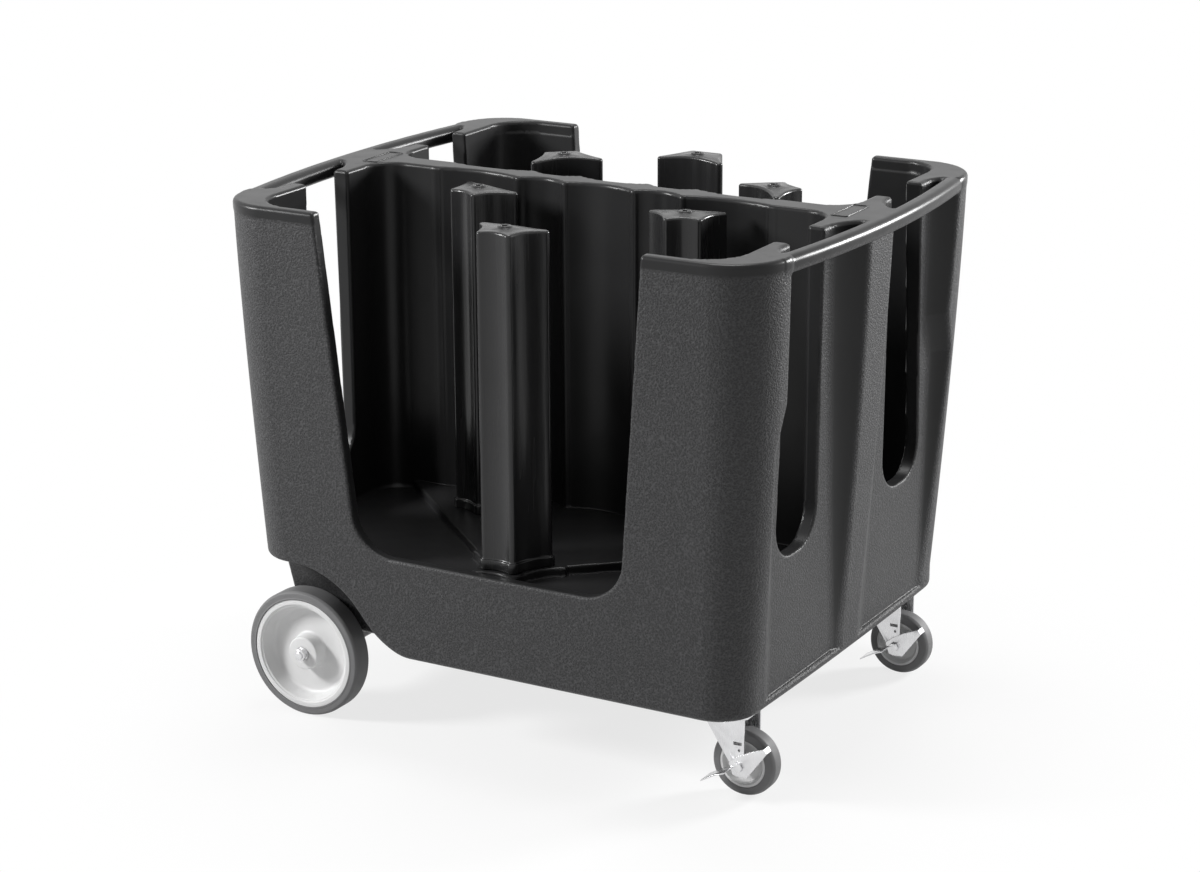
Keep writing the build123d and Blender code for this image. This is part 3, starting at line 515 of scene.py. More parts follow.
def divider_plan(x, y, place_x, place_y, turn):
    """Distance from a divider's outline, which lies outside its sides' large circles and has rounded tips,
    with the point's place in the divider's own directions."""
    angle = np.radians(turn)
    along = (x - place_x) * np.cos(angle) + (y - place_y) * np.sin(angle)
    aside = -(x - place_x) * np.sin(angle) + (y - place_y) * np.cos(angle)
    field = None
    for number in range(len(TIPS)):
        first, last, centre, reach = divider_side(number)
        side = reach - TIP_ROUND - np.hypot(along - centre[0], aside - centre[1])
        field = side if field is None else both(field, side, TIP_ROUND)
    return np.maximum(field, np.hypot(along, aside) - DIVIDER_GIRTH), along, aside


def panel_face(z):
    """Outer face of the recessed end panels, along X."""
    return PANEL_FOOT + (PANEL_RIM - PANEL_FOOT) * (z - RECESS_FOOT) / (RIM - RECESS_FOOT)


def recess_field(u, v, z):
    """The hollow between a middle and a corner pillar: its back is the panel, its flanks spread outwards, and
    round valleys join them."""
    depth = u - panel_face(z)
    inner = np.interp(z, RECESS_Z, RECESS_IN) - depth * RECESS_IN_SLOPE
    outer = np.interp(z, RECESS_Z, RECESS_OUT) + depth * RECESS_OUT_SLOPE
    near = (inner - v) / np.sqrt(1 + RECESS_IN_SLOPE ** 2)
    far = (v - outer) / np.sqrt(1 + RECESS_OUT_SLOPE ** 2)
    field = both(both(-depth, near, RECESS_ROUND), far, RECESS_ROUND)
    return np.maximum(field, RECESS_FOOT - z)


def slot_field(u, v, z):
    """A slot through an end panel: round at its foot, open at the rim, its outer side slanted."""
    share = (z - SLOT_FOOT) / (RIM - SLOT_FOOT)
    far = v - (SLOT_FAR + (SLOT_FAR_RIM - SLOT_FAR) * share)
    slot = both(np.maximum(SLOT_NEAR - v, far), SLOT_FOOT - z, SLOT_ROUND)
    return np.maximum(slot, SLOT_START - u)


def rail_field(u, v, z):
    """The bowed bar across an end, level with the rim, run on into the corners."""
    centre = RAIL_OUT - RAIL_WIDTH / 2 - RAIL_BOW * (v / RAIL_SPAN) ** 2
    across = np.abs(u - centre) - RAIL_WIDTH / 2
    upright = np.abs(z - (RIM - RAIL_DEPTH / 2)) - RAIL_DEPTH / 2
    return np.maximum(rounded(across, upright, RAIL_ROUND), v - RAIL_SPAN - RAIL_RUN_ON)


def landing_field(x, y, u, v, z):
    """The raised floor: a flat with a straight slanted edge, and a margin round each divider's foot."""
    fall = LANDING_APEX - LANDING_FOOT
    raised = (u * fall + (v - LANDING_APEX) * LANDING_REACH) / np.hypot(fall, LANDING_REACH)
    for name, place_x, place_y, turn in DIVIDERS:
        plan, along, aside = divider_plan(x, y, place_x, place_y, turn)
        raised = np.minimum(raised, plan - FOOT_MARGIN - LANDING_MARGIN)
    raised = np.maximum(both(raised, z - LANDING, LANDING_EDGE), FLOOR - LANDING_SUNK - z)
    return np.maximum(raised, v - LANDING_SIDE)


def hump_field(x, v, z):
    """The tapered hump under the deck that carries the axle."""
    overlap = 20.0
    flank = np.abs(x - AXLE_X) - HUMP_HALF + (UNDERSIDE + LOWER_END_EDGE - z) * HUMP_LEAN
    hump = both(flank, HUMP_FOOT - z, HUMP_EDGE)
    return np.maximum(np.maximum(hump, v - WELL_WALL), z - UNDERSIDE - overlap)


def body_field(x, y, z, edge):
    """Signed distance, nearly, from the moulding's surface: negative inside. x, y and z broadcast."""
    u, v = np.abs(x), np.abs(y)
    block, width = block_field(u, v, z)
    body = shell_field(x, v, z, block)
    bay = both(u - BAY_END, v - (width - WALL), BAY_OUTER_ROUND)
    bay = both(bay, partition_half(u) - v, BAY_INNER_ROUND)
    body = without(body, both(bay, FLOOR - z, FLOOR_ROUND), edge)
    body = either(body, landing_field(x, y, u, v, z), LANDING_FILLET)
    slope = (MOUTH_TOP - MOUTH_FOOT) / (RIM - LANDING)
    mouth = both(u - MOUTH_FOOT - slope * (z - LANDING), LANDING - z, MOUTH_ROUND)
    body = without(body, np.maximum(mouth, MOUTH_START - v), edge)
    body = without(body, recess_field(u, v, z), PILLAR_EDGE)
    body = without(body, slot_field(u, v, z), edge * 0.8)
    body = np.maximum(either(body, rail_field(u, v, z), RAIL_FILLET), z - RIM)
    lean = (LOWER_END_TOP - LOWER_END_FOOT) / (ARCH_TOP - UNDERSIDE)
    lower_end = np.maximum(x + LOWER_END_FOOT + (z - UNDERSIDE) * lean, z - ARCH_TOP)
    body = without(body, lower_end, LOWER_END_EDGE)
    body = either(body, hump_field(x, v, z), HUMP_FILLET)
    for name, place_x, place_y, turn in DIVIDERS:
        plan, along, aside = divider_plan(x, y, place_x, place_y, turn)
        half = PLUG / 2 + PLUG_FIT
        socket = both(np.abs(along) - half, np.abs(aside) - half, PLUG_ROUND)
        body = without(body, np.maximum(socket, LANDING - PLUG_LENGTH - PLUG_FIT - z), PLUG_EDGE)
    return body


def crossings(values, axes):
    """The surface's points and faces on a grid, by surface nets: each cell that the surface passes through
    gets one point, the mean of the places where it crosses the cell's edges, and each crossed grid edge gets
    a quad."""
    inside = values < 0
    shape = np.array(values.shape)
    cells = shape - 1
    count = sum(
        inside[i:i + cells[0], j:j + cells[1], k:k + cells[2]].astype(np.int8)
        for i in (0, 1) for j in (0, 1) for k in (0, 1)
    )
    active = np.argwhere((count > 0) & (count < 8))
    number = np.full(tuple(cells), -1, np.int64)
    number[tuple(active.T)] = np.arange(len(active))
    total = np.zeros((len(active), 3))
    hits = np.zeros(len(active))
    for axis in range(3):
        others = [n for n in range(3) if n != axis]
        for first in (0, 1):
            for second in (0, 1):
                start = np.zeros(3, int)
                start[others[0]], start[others[1]] = first, second
                stop = start.copy()
                stop[axis] = 1
                a = values[tuple((active + start).T)]
                b = values[tuple((active + stop).T)]
                crossed = (a < 0) != (b < 0)
                share = np.where(crossed, a / np.where(crossed, a - b, 1.0), 0.0)
                total += np.where(crossed[:, None], start + share[:, None] * (stop - start), 0.0)
                hits += crossed
    points = active + total / hits[:, None]
    points = np.stack([np.interp(points[:, n], np.arange(shape[n]), axes[n]) for n in range(3)], 1)
    faces = []
    for axis in range(3):
        one, two = (axis + 1) % 3, (axis + 2) % 3
        low = [slice(None)] * 3
        high = [slice(None)] * 3
        low[axis], high[axis] = slice(0, -1), slice(1, None)
        a, b = inside[tuple(low)], inside[tuple(high)]
        edges = np.argwhere(a != b)
        keep = (edges[:, one] > 0) & (edges[:, two] > 0)
        keep &= (edges[:, one] < cells[one]) & (edges[:, two] < cells[two])
        edges = edges[keep]
        outward = a[tuple(edges.T)]
        step_one, step_two = np.zeros(3, int), np.zeros(3, int)
        step_one[one], step_two[two] = 1, 1
        corners = [edges, edges - step_one, edges - step_one - step_two, edges - step_two]
        quad = np.stack([number[tuple(c.T)] for c in corners], 1)
        faces.append(np.where(outward[:, None], quad, quad[:, ::-1]))
    return points, np.concatenate(faces)


def slope_at(points, edge, step=0.2):
    """The field's gradient at points, by differences."""
    parts = []
    for axis in range(3):
        move = np.zeros(3)
        move[axis] = step
        parts.append(body_field(*(points + move).T, edge) - body_field(*(points - move).T, edge))
    return np.stack(parts, 1) / (2 * step)


def onto_surface(points, edge, limit):
    """points moved along the gradient to where the field is nought, by Newton's rule, in limited steps."""
    for turn in range(2):
        slope = slope_at(points, edge)
        level = body_field(*points.T, edge)
        move = slope * (level / np.maximum((slope ** 2).sum(1), 0.05))[:, None]
        length = np.linalg.norm(move, axis=1, keepdims=True)
        points = points - move * np.minimum(1.0, limit / np.maximum(length, 1e-9))
    return points


def evened(points, faces):
    """Each point moved half way to the mean of its neighbours."""
    start = faces.ravel()
    stop = np.roll(faces, -1, 1).ravel()
    ends = np.concatenate((start, stop))
    others = np.concatenate((stop, start))
    count = np.bincount(ends, minlength=len(points))
    total = np.stack([np.bincount(ends, points[others, n], len(points)) for n in range(3)], 1)
    return (points + total / count[:, None]) / 2


def grain_and_shade_mask(points):
    """Mask of grain and painted shade: 1 on the textured outer faces, less on the end panels and in the
    arches, and 0 on the smooth rim band, inner walls, flanks and floor. Where it is under 1 the bump fades
    and the colour is painted darker, partly as painted shade."""
    # painted shade: the end panels in the recesses and the walls in the arches get a mask under 1, so they
    # are painted darker too
    panel_grain_and_shade, arch_grain_and_shade, panel_side = 0.8, 0.6, 300.0
    x, y, z = points.T
    u, v = np.abs(x), np.abs(y)
    outer, width = block_field(u, v, z)
    grain_and_shade = np.clip((outer + 5.0) / 3.0, 0.0, 1.0) * np.clip((RIM - RIM_BAND - z) / BAND_FADE, 0.0, 1.0)
    panel = np.clip(1 - np.abs(u - panel_face(z)) / 3.0, 0.0, 1.0) * (v < panel_side) * panel_grain_and_shade
    arch = (z < ARCH_TOP) * np.clip(1 - np.abs(v - WELL_WALL) / 4.0, 0.0, 1.0) * (x < -160.0) * arch_grain_and_shade
    return np.maximum(np.maximum(grain_and_shade, panel * (outer < -2.0)), arch)


class PLATECART_OT_body(bpy.types.Operator):
    """Make the moulded body: a field on a grid, meshed, evened and moved onto the field's surface"""

    bl_idname = "platecart.body"
    bl_label = "Moulded body"

    def execute(self, context):
        settings = context.scene.platecart_body
        step = settings.mesh_step / MM * 1.0
        edge = settings.edge / MM
        axes = [np.arange(low, high, step, dtype=np.float32) for low, high in GRID_LIMITS]
        grid = np.meshgrid(*axes, indexing="ij", sparse=True)
        values = body_field(*grid, edge)
        points, faces = crossings(values, axes)
        for turn in range(2):
            points = onto_surface(evened(points, faces), edge, step)
        points = onto_surface(points, edge, step)
        nodes = [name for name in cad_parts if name.startswith("body_")]
        piece = new_piece(
            "moulded_body", points, faces.tolist(), body_plastic(settings), "cart", nodes,
        )
        self.thin(context, piece)
        self.finish(piece.data, edge)
        return {"FINISHED"}

    def finish(self, mesh, edge):
        """The points back onto the surface, the mask attribute of grain and painted shade, and normals along
        the field's gradient.
        """
        co = np.empty(len(mesh.vertices) * 3, np.float32)
        mesh.vertices.foreach_get("co", co)
        co = co.reshape(-1, 3).astype(float) / MM
        co = onto_surface(co, edge, 1.0)
        mesh.vertices.foreach_set("co", (co * MM).astype(np.float32).ravel())
        # the mask that sets the grain and the painted shade of the body's colour
        grain_and_shade = mesh.attributes.new("grain_and_shade", "FLOAT", "POINT")
        grain_and_shade.data.foreach_set("value", grain_and_shade_mask(co).astype(np.float32))
        normals = slope_at(co, edge)
        normals /= np.maximum(np.linalg.norm(normals, axis=1, keepdims=True), 1e-9)
        mesh.shade_smooth()
        mesh.normals_split_custom_set_from_vertices(normals.tolist())
        mesh.update()

    def thin(self, context, piece):
        """Fewer, larger triangles on the flat parts, down to THINNED_TRIANGLES when the piece has more than
        MOST_TRIANGLES.
        """
        triangles = sum(len(face.vertices) - 2 for face in piece.data.polygons)
        if triangles < MOST_TRIANGLES:
            return
        modifier = piece.modifiers.new("thin", "DECIMATE")
        modifier.ratio = THINNED_TRIANGLES / triangles
        depsgraph = context.evaluated_depsgraph_get()
        thinned = bpy.data.meshes.new_from_object(piece.evaluated_get(depsgraph))
        piece.modifiers.clear()
        old = piece.data
        piece.data = thinned
        bpy.data.meshes.remove(old)


# ---- dividers -----------------------------------------------------------------------------
def divider_outline(grow, side_steps=16, tip_steps=10):
    """The outline as one closed loop: hollow arcs along the four sides, and round arcs at the four tips."""
    radius = TIP_ROUND + grow
    sides = [divider_side(number) for number in range(len(TIPS))]
    loops = []
    for number, (first, last, centre, reach) in enumerate(sides):
        start, stop = [np.arctan2(*(tip - centre)[::-1]) for tip in (first, last)]
        turn = (stop - start + np.pi) % (2 * np.pi) - np.pi
        angle = start + turn * np.linspace(0, 1, side_steps, endpoint=False)
        loops.append(centre + (reach - radius) * np.stack((np.cos(angle), np.sin(angle)), 1))
        following = sides[(number + 1) % len(TIPS)][2]
        start, stop = [np.arctan2(*(point - last)[::-1]) for point in (centre, following)]
        turn = (stop - start) % (2 * np.pi)
        angle = start + turn * np.linspace(0, 1, tip_steps, endpoint=False)
        loops.append(last + radius * np.stack((np.cos(angle), np.sin(angle)), 1))
    return np.concatenate(loops)


def squared(loop, half, radius):
    """For each point of loop, the point of a rounded square in the same direction from the middle."""
    angle = np.arctan2(loop[:, 1], loop[:, 0])
    direction = np.stack((np.cos(angle), np.sin(angle)), 1)
    low, high = np.zeros(len(loop)), np.full(len(loop), 2.0 * half)
    for turn in range(24):
        middle = (low + high) / 2
        point = np.abs(direction * middle[:, None])
        outside = both(point[:, 0] - half, point[:, 1] - half, radius) > 0
        low, high = np.where(outside, low, middle), np.where(outside, middle, high)
    return direction * low[:, None]


def circled(loop, radius):
    """For each point of loop, the point of a circle in the same direction from the middle."""
    return loop / np.linalg.norm(loop, axis=1, keepdims=True) * radius


def divider_rings(edge):
    """The divider as rings from the plug's foot up: plug, flanged foot, tower, rounded top edge, pitched top,
    collar and hole. Each ring is a loop of points with its heights."""
    rings = []

    def ring(loop, height):
        heights = np.broadcast_to(np.asarray(height, float), (len(loop),))
        rings.append(np.column_stack((loop, heights)))

    outline = divider_outline(0.0)
    plug = squared(outline, PLUG / 2, PLUG_ROUND)
    foot = LANDING - PLUG_LENGTH
    for share in (0.02, 0.5, 0.93):
        ring(plug * share, foot)
    for angle in np.linspace(0, np.pi / 2, 4):
        inset = PLUG_EDGE * (1 - np.sin(angle))
        ring(plug * (1 - inset / (PLUG / 2)), foot + PLUG_EDGE * (1 - np.cos(angle)))
    ring(plug, LANDING)
    ring((plug + divider_outline(FOOT_MARGIN)) / 2, LANDING)
    for angle in np.linspace(0, np.pi / 2, 4):
        low = FOOT_LOW_ROUND
        ring(divider_outline(FOOT_MARGIN - low * (1 - np.sin(angle))), LANDING + low * (1 - np.cos(angle)))
    shoulder = LANDING + FOOT_HEIGHT - FOOT_HIGH_ROUND
    for angle in np.linspace(0, np.pi / 2, 5):
        high = FOOT_HIGH_ROUND
        ring(divider_outline(FOOT_MARGIN - high * (1 - np.cos(angle))), shoulder + high * np.sin(angle))
    for angle in np.linspace(0.15, np.pi / 2, 5):
        spread = FOOT_SPREAD * (1 - np.sin(angle))
        ring(divider_outline(spread), LANDING + FOOT_HEIGHT + FOOT_CURVE * (1 - np.cos(angle)))
    for height in np.linspace(LANDING + STRAIGHT_MARGIN, DIVIDER_TOP - STRAIGHT_MARGIN, 12):
        ring(outline, height)

    def pitched(loop):
        return DIVIDER_TOP - DIVIDER_PITCH / (TIPS[1][0] + TIP_ROUND) * np.linalg.norm(loop, axis=1)

    for angle in np.linspace(0, np.pi / 2, 7):
        loop = divider_outline(-edge * (1 - np.cos(angle)))
        ring(loop, pitched(loop) - edge * (1 - np.sin(angle)))
    inner = divider_outline(-edge)
    collar = circled(outline, COLLAR_FOOT)
    for share in np.linspace(0.12, 1.0, 9):
        loop = inner + (collar - inner) * share
        ring(loop, pitched(loop) - TOP_SAG * np.sin(np.pi * share) ** 2)
    top = DIVIDER_TOP + COLLAR_HEIGHT
    for radius, height in (
        (COLLAR, top - 0.6), (COLLAR - 0.6, top), (HOLE + 1.7, top), (HOLE + 0.5, top - 0.5),
        (HOLE, DIVIDER_TOP), (HOLE, DIVIDER_TOP - HOLE_DEPTH + 1.0), (HOLE - 0.6, DIVIDER_TOP - HOLE_DEPTH),
        (2.0, DIVIDER_TOP - HOLE_DEPTH),
    ):
        ring(circled(outline, radius), height)
    return np.stack(rings)


class PLATECART_OT_dividers(bpy.types.Operator):
    """Make the six lift-out dividers: one outline carried up through rings"""

    bl_idname = "platecart.dividers"
    bl_label = "Dividers"

    def execute(self, context):
        settings = context.scene.platecart_dividers
        rings = divider_rings(settings.edge / MM)
        rows, columns = rings.shape[:2]
        faces = grid_faces(rows, columns)
        points = rings.reshape(-1, 3)
        count = rows * columns
        ends = np.array([[0.0, 0.0, points[0, 2]], [0.0, 0.0, points[-1, 2]]])
        points = np.concatenate((points, ends))
        loop = np.arange(columns)
        after = (loop + 1) % columns
        last = (rows - 1) * columns
        caps = [[count, b, a] for a, b in zip(loop.tolist(), after.tolist())]
        caps += [[count + 1, last + a, last + b] for a, b in zip(loop.tolist(), after.tolist())]
        material = divider_plastic(settings)
        for name, place_x, place_y, turn in DIVIDERS:
            angle = np.radians(turn)
            x = place_x + points[:, 0] * np.cos(angle) - points[:, 1] * np.sin(angle)
            y = place_y + points[:, 0] * np.sin(angle) + points[:, 1] * np.cos(angle)
            new_piece(
                f"tower_{name}", np.stack((x, y, points[:, 2]), 1), faces.tolist() + caps, material,
                f"lift_{name}", (f"divider_{name}",),
            )
        return {"FINISHED"}


# ---- wheels -------------------------------------------------------------------------------
def turned_wheel(lines, names, stem, body, centre, segments, materials):
    """A wheel's disc and tyre, each an outline turned about the axle. They ride on body."""
    finishes = (("rim", "wheel_plastic"), ("tyre", "tyre_grey"))
    for line, name, material, (node, slot) in zip(lines, names, materials, finishes):
        vertices, faces = turned_ring(line, centre, segments)
        new_piece(name, vertices, faces.tolist(), material, body, (f"{stem}_{node}",))


class PLATECART_OT_rear_wheels(bpy.types.Operator):
    """Make the two large rear wheels: dished discs and tyres, each an outline turned about the axle"""

    bl_idname = "platecart.rear_wheels"
    bl_label = "Rear wheels"

    def execute(self, context):
        settings = context.scene.platecart_wheels
        materials = disc_plastic(settings), tyre_rubber(settings)
        corners = (
            (DISC_BORE, HUB_BACK), (DISC_BOSS, HUB_BACK), (DISC_BOSS, WEB_BACK), (DISC_WEB, WEB_BACK),
            (DISC_RING, RING_BACK), (DISC, RING_BACK), (DISC, RING_FACE), (DISC_RING + 0.5, RING_FACE),
            (DISC_RING - 0.5, RING_FACE - 1.6), (DISC_RING - 3.0, RING_FACE - 2.4), (DISC_WEB, WEB_FACE),
            (DISC_BOSS + 1.5, WEB_FACE), (DISC_BOSS, HUB_FACE), (DISC_BORE + 1.9, HUB_FACE),
            (DISC_BORE + 0.9, HUB_FACE - HUB_CHAMFER), (DISC_BORE, HUB_FACE - HUB_CHAMFER),
        )
        radii = (0.5, 2, 2, 6, 2, 0.8, 0.8, 1.2, 0.6, 1.5, 8, 4, 2.4, 0.4, 0.4, 0.3)
        disc_line = rounded_line(corners, radii)
        half = (
            (DISC, TYRE_HALF), (DISC + 1.7, TYRE_HALF), (DISC + 3.0, TYRE_HALF - 0.6),
            (TYRE - 3.0, TYRE_HALF - 0.9), (TYRE, TYRE_HALF - 5.0),
        )
        tyre_line = rounded_line(*mirrored(half, (0.4, 0.6, 0.8, 3.0, 4.0))) + (0.0, TYRE_MIDDLE)
        for name, side in ENDS:
            lines = disc_line * (1.0, side), tyre_line * (1.0, side)
            turned_wheel(
                lines, (f"{name}_rear_disc", f"{name}_rear_tyre"), f"{name}_wheel", f"{name}_wheel",
                (AXLE_X, 0.0, WHEEL_Z), 144, materials,
            )
        return {"FINISHED"}


class PLATECART_OT_casters(bpy.types.Operator):
    """Make the casters' wheels: discs and tyres, each an outline turned about the axle"""

    bl_idname = "platecart.casters"
    bl_label = "Caster wheels"

    def execute(self, context):
        settings = context.scene.platecart_wheels
        materials = disc_plastic(settings), tyre_rubber(settings)
        half = (
            (SMALL_BORE, SMALL_HUB_HALF), (SMALL_HUB, SMALL_HUB_HALF), (SMALL_HUB, SMALL_WEB_HALF),
            (SMALL_WEB, SMALL_WEB_HALF), (SMALL_RING, SMALL_RING_HALF), (SMALL_DISC, SMALL_RING_HALF),
        )
        disc_line = rounded_line(*mirrored(half, (0.3, 1, 2, 3, 0.8, 0.6)), 5)
        half = (
            (SMALL_DISC, SMALL_TYRE_HALF), (SMALL_DISC + 2.5, SMALL_TYRE_HALF),
            (SMALL_TYRE - 3.0, SMALL_TYRE_HALF - 1.5), (SMALL_TYRE, SMALL_TYRE_HALF - 7.5),
        )
        tyre_line = rounded_line(*mirrored(half, (0.4, 1.5, 4, 6)))
        for name, side in ENDS:
            turned_wheel(
                (disc_line, tyre_line), (f"{name}_caster_disc", f"{name}_caster_tread"), f"{name}_caster",
                f"{name}_caster_wheel", (CASTER_AXLE_X, side * CASTER_Y, CASTER_Z), 96, materials,
            )
        return {"FINISHED"}


def softened(node, name, body, material, width):
    """A merged copy of a CAD node with small rounded edges, which stands for it."""
    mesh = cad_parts[node].data.copy()
    mesh.name = name
    piece = bpy.data.objects.new(name, mesh)
    bpy.context.scene.collection.objects.link(piece)
    weld = piece.modifiers.new("weld", "WELD")
    weld.merge_threshold = 0.00001
    plane = piece.modifiers.new("plane", "DECIMATE")
    plane.decimate_type = "DISSOLVE"
    plane.angle_limit = np.radians(1.0)
    bevel = piece.modifiers.new("bevel", "BEVEL")
    bevel.width = width
    bevel.segments = 2
    bevel.limit_method = "ANGLE"
    bevel.angle_limit = np.radians(35.0)
    depsgraph = bpy.context.evaluated_depsgraph_get()
    finished = bpy.data.meshes.new_from_object(piece.evaluated_get(depsgraph))
    piece.modifiers.clear()
    piece.data = finished
    bpy.data.meshes.remove(mesh)
    finished.name = name
    finished.materials.clear()
    finished.materials.append(material)
    finished.shade_smooth()
    finished.set_sharp_from_angle(angle=np.radians(38.0))
    settle(piece, body, (node,))


class PLATECART_OT_fittings(bpy.types.Operator):
    """Dress the steel fittings: forks, brakes, plates, bolts, nuts, washers and the axle"""

    bl_idname = "platecart.fittings"
    bl_label = "Steel fittings"

    def execute(self, context):
        settings = context.scene.platecart_wheels
        zinc = zinc_plate(settings)
        for node, name, width in (
            ("rear_axle", "axle_rod", 0.0004), ("axle_washers", "axle_rings", 0.0003),
            ("axle_nuts", "axle_hex_nuts", 0.0007), ("caster_bolts", "plate_bolts", 0.0005),
        ):
            softened(node, name, "cart", zinc, width)
        for name, side in ENDS:
            for node, label, body, width in (
                ("plate", "mounting_plate", "cart", 0.0004),
                ("kingpin", "swivel_pin", "cart", 0.0004),
                ("fork", "forked_leg", f"{name}_caster_swivel", 0.0005),
                ("pin", "wheel_bolt", f"{name}_caster_swivel", 0.0006),
                ("nut", "wheel_nut", f"{name}_caster_swivel", 0.0005),
                ("brake", "foot_brake", f"{name}_caster_pedal", 0.0004),
            ):
                softened(f"{name}_caster_{node}", f"{name}_{label}", body, zinc, width)
        bare = {"caster_inserts": hidden_brass()}
        disc = disc_plastic(settings)
        for name, side in ENDS:
            bare[f"{name}_wheel_bush"] = disc
            bare[f"{name}_caster_bush"] = disc
            bare[f"{name}_caster_balls"] = zinc
        for node, material in bare.items():
            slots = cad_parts[node].data.materials
            slots.clear()
            slots.append(material)
        return {"FINISHED"}


class PLATECART_OT_label_frames(bpy.types.Operator):
    """Make the raised bare label frame on each end block: a small rounded bar carried round a rectangle"""

    bl_idname = "platecart.label_frames"
    bl_label = "Label frames"

    def execute(self, context):
        material = body_plastic(context.scene.platecart_body)
        rings = []
        for inset, height in LABEL_BAR:
            x, y = LABEL_HALF_X - inset, LABEL_HALF_Y - inset
            loop = rounded_line(((-x, -y), (x, -y), (x, y), (-x, y)), [LABEL_ROUND - inset] * 4, 5)
            rings.append(np.column_stack((loop, np.full(len(loop), RIM + height))))
        faces = grid_faces(len(rings), len(rings[0]), closed_rows=True).tolist()
        points = np.concatenate(rings)
        for name, end in (("front", 1.0), ("rear", -1.0)):
            place = (end * LABEL_X, 0.0, 0.0)
            new_piece(f"{name}_label_frame", points + place, faces, material, "cart")
        return {"FINISHED"}


# ---- stage --------------------------------------------------------------------------------
# solved from the photograph: degrees, pixels of a frame 1200 wide, and metres
CAMERA_TURN, CAMERA_RISE, CAMERA_ROLL = 29.676, 17.05, -0.279
CAMERA_FOCAL, FRAME_WIDTH = 2924.64, 1200.0
CAMERA_PLACE = (2.123938, -3.750455, 1.729941)
# lamp, place, aim and width in metres, and power as a share of the key light's
LAMPS = (
    ("left", (-2.9, -2.2, 2.2), (-0.3, -0.3, 0.65), 1.0, 1.0),
    ("right", (2.6, 3.4, 1.7), (0.4, 0.0, 0.5), 1.2, 1.45),
    ("top", (-0.3, 0.6, 3.6), (0.0, 0.0, 0.6), 1.4, 0.3),
)
FLOOR_HALF, FADE_NEAR, FADE_FAR, FADE_START = 12.0, 0.45, 0.95, 0.78


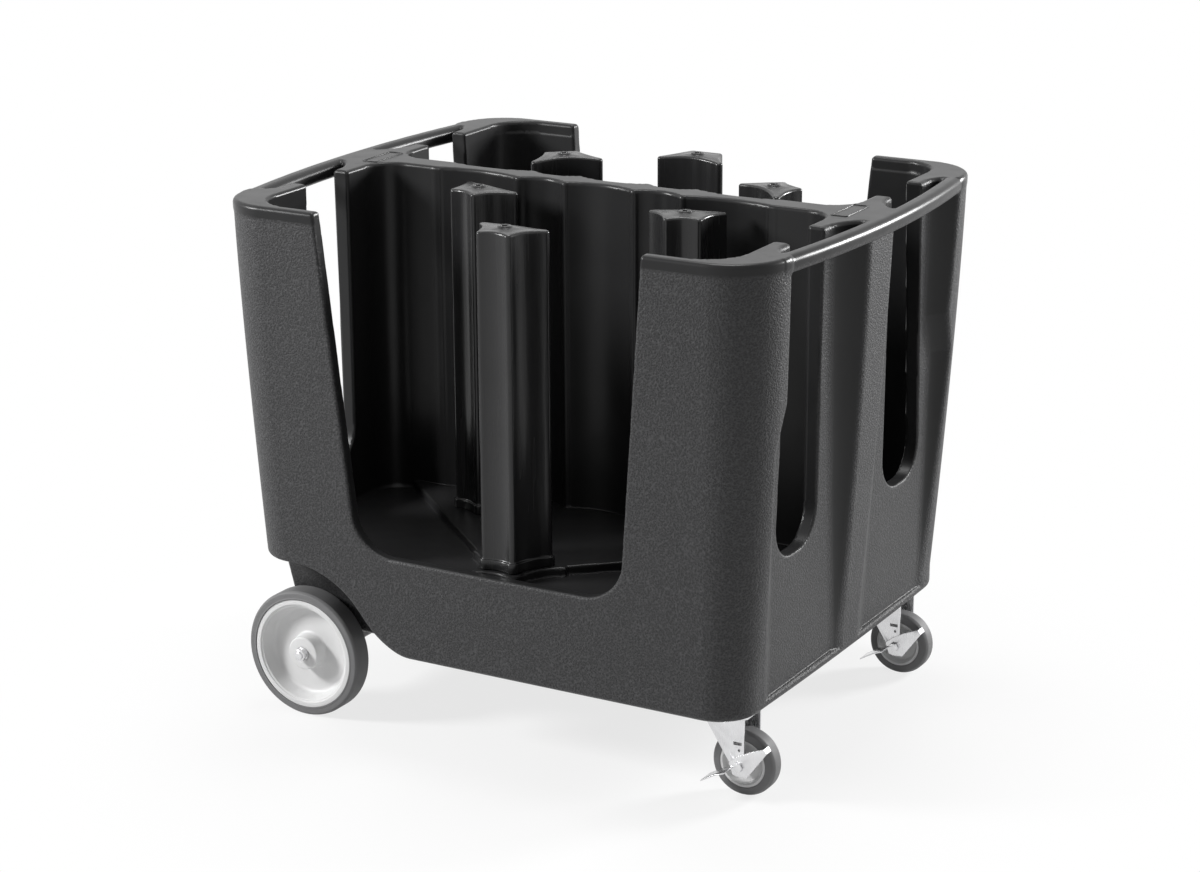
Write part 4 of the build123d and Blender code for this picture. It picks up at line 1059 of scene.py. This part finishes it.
class PLATECART_OT_stage(bpy.types.Operator):
    """Set the camera, the soft studio light and the pale floor"""

    bl_idname = "platecart.stage"
    bl_label = "Stage"

    def execute(self, context):
        settings = context.scene.platecart_stage
        self.camera(context)
        self.floor(context)
        self.world(context, settings)
        for name, place, aim, size, share in LAMPS:
            light = bpy.data.lights.new(name, "AREA")
            light.shape = "DISK"
            light.size = size
            light.energy = settings.key_power * share
            lamp = bpy.data.objects.new(name, light)
            lamp.location = place
            lamp.rotation_euler = (Vector(aim) - Vector(place)).to_track_quat("-Z", "Y").to_euler()
            context.scene.collection.objects.link(lamp)
        context.scene.view_settings.view_transform = "Standard"
        return {"FINISHED"}

    def camera(self, context):
        """The photograph's camera: its axes from the turn, rise and roll, as a matrix with its place."""
        turn, rise, roll = np.radians((CAMERA_TURN, CAMERA_RISE, CAMERA_ROLL))
        back = Vector((np.sin(turn) * np.cos(rise), -np.cos(turn) * np.cos(rise), np.sin(rise)))
        right = Vector((np.cos(turn), np.sin(turn), 0.0))
        up = back.cross(right)
        level_right = right * np.cos(roll) + up * np.sin(roll)
        level_up = up * np.cos(roll) - right * np.sin(roll)
        data = bpy.data.cameras.new("camera")
        data.sensor_fit = "HORIZONTAL"
        data.sensor_width = 36.0
        data.lens = CAMERA_FOCAL / FRAME_WIDTH * data.sensor_width
        camera = bpy.data.objects.new("camera", data)
        turned = Matrix((level_right, level_up, back)).transposed().to_4x4()
        camera.matrix_world = Matrix.Translation(CAMERA_PLACE) @ turned
        context.scene.collection.objects.link(camera)
        context.scene.camera = camera

    def floor(self, context):
        """A pale floor that keeps the shadow near the cart and fades into the white background."""
        mesh = bpy.data.meshes.new("floor")
        corners = [(x * FLOOR_HALF, y * FLOOR_HALF, 0) for x, y in ((-1, -1), (1, -1), (1, 1), (-1, 1))]
        mesh.from_pydata(corners, [], [(0, 1, 2, 3)])
        net = Net("floor")
        clouds = net.noise(1.5, 1.0)
        pale = net.mix(clouds, (0.8, 0.8, 0.8, 1.0), (0.82, 0.82, 0.82, 1.0))
        diffuse = net.make("ShaderNodeBsdfDiffuse", {}, {"Color": pale})
        white = net.make("ShaderNodeEmission", {}, {"Color": (1.0, 1.0, 1.0, 1.0), "Strength": 1.0})
        far = net.output("ShaderNodeVectorMath", {"operation": "LENGTH"}, {0: net.position}, "Value")
        fade = net.ramp(far, FADE_NEAR, FADE_FAR, FADE_START, 1.0)
        rays = net.build("ShaderNodeLightPath", {}, {})
        seen = Value(net, rays.outputs["Is Camera Ray"])
        for name in ("Is Glossy Ray", "Is Transmission Ray"):
            seen = seen + Value(net, rays.outputs[name])
        mixed = net.make("ShaderNodeMixShader", {}, {0: fade * seen, 1: diffuse, 2: white})
        net.build("ShaderNodeOutputMaterial", {}, {"Surface": mixed})
        mesh.materials.append(net.material)
        floor = bpy.data.objects.new("floor", mesh)
        context.scene.collection.objects.link(floor)

    def world(self, context, settings):
        """Even light at the fill level, and plain white for the camera and in reflections."""
        world = bpy.data.worlds.new("studio")
        world.use_nodes = True
        tree = world.node_tree
        tree.nodes.clear()
        rays = tree.nodes.new("ShaderNodeLightPath")
        level = tree.nodes.new("ShaderNodeMapRange")
        level.inputs["To Min"].default_value = settings.fill_level
        level.inputs["To Max"].default_value = 1.0
        seen = rays.outputs["Is Camera Ray"]
        for name in ("Is Glossy Ray", "Is Transmission Ray"):
            total = tree.nodes.new("ShaderNodeMath")
            total.operation, total.use_clamp = "ADD", True
            tree.links.new(seen, total.inputs[0])
            tree.links.new(rays.outputs[name], total.inputs[1])
            seen = total.outputs[0]
        tree.links.new(seen, level.inputs["Value"])
        back = tree.nodes.new("ShaderNodeBackground")
        back.inputs["Color"].default_value = (1.0, 1.0, 1.0, 1.0)
        tree.links.new(level.outputs["Result"], back.inputs["Strength"])
        output = tree.nodes.new("ShaderNodeOutputWorld")
        tree.links.new(back.outputs["Background"], output.inputs["Surface"])
        context.scene.world = world


class PLATECART_PT_panel(bpy.types.Panel):
    """Settings and steps of the plate cart"""

    bl_idname = "PLATECART_PT_panel"
    bl_label = "Plate dispenser cart"
    bl_space_type = "VIEW_3D"
    bl_region_type = "UI"
    bl_category = "Plate cart"

    def draw(self, context):
        for name, group in GROUPS.items():
            box = self.layout.box()
            for key in group.__annotations__:
                box.prop(getattr(context.scene, name), key)
        for operator in OPERATORS:
            self.layout.operator(operator.bl_idname)


GROUPS = {
    "platecart_body": PlateCartBody,
    "platecart_dividers": PlateCartDividers,
    "platecart_wheels": PlateCartWheels,
    "platecart_stage": PlateCartStage,
}
OPERATORS = (
    PLATECART_OT_stage,
    PLATECART_OT_body,
    PLATECART_OT_label_frames,
    PLATECART_OT_dividers,
    PLATECART_OT_rear_wheels,
    PLATECART_OT_casters,
    PLATECART_OT_fittings,
)


def register():
    for cls in (*GROUPS.values(), *OPERATORS, PLATECART_PT_panel):
        bpy.utils.register_class(cls)
    for name, group in GROUPS.items():
        setattr(bpy.types.Scene, name, bpy.props.PointerProperty(type=group))


def unregister():
    for name in GROUPS:
        delattr(bpy.types.Scene, name)
    for cls in (PLATECART_PT_panel, *reversed(OPERATORS), *reversed(list(GROUPS.values()))):
        bpy.utils.unregister_class(cls)


def main():
    register()
    for operator in OPERATORS:
        group, name = operator.bl_idname.split(".")
        getattr(getattr(bpy.ops, group), name)()


if __name__ == "__main__":
    main()
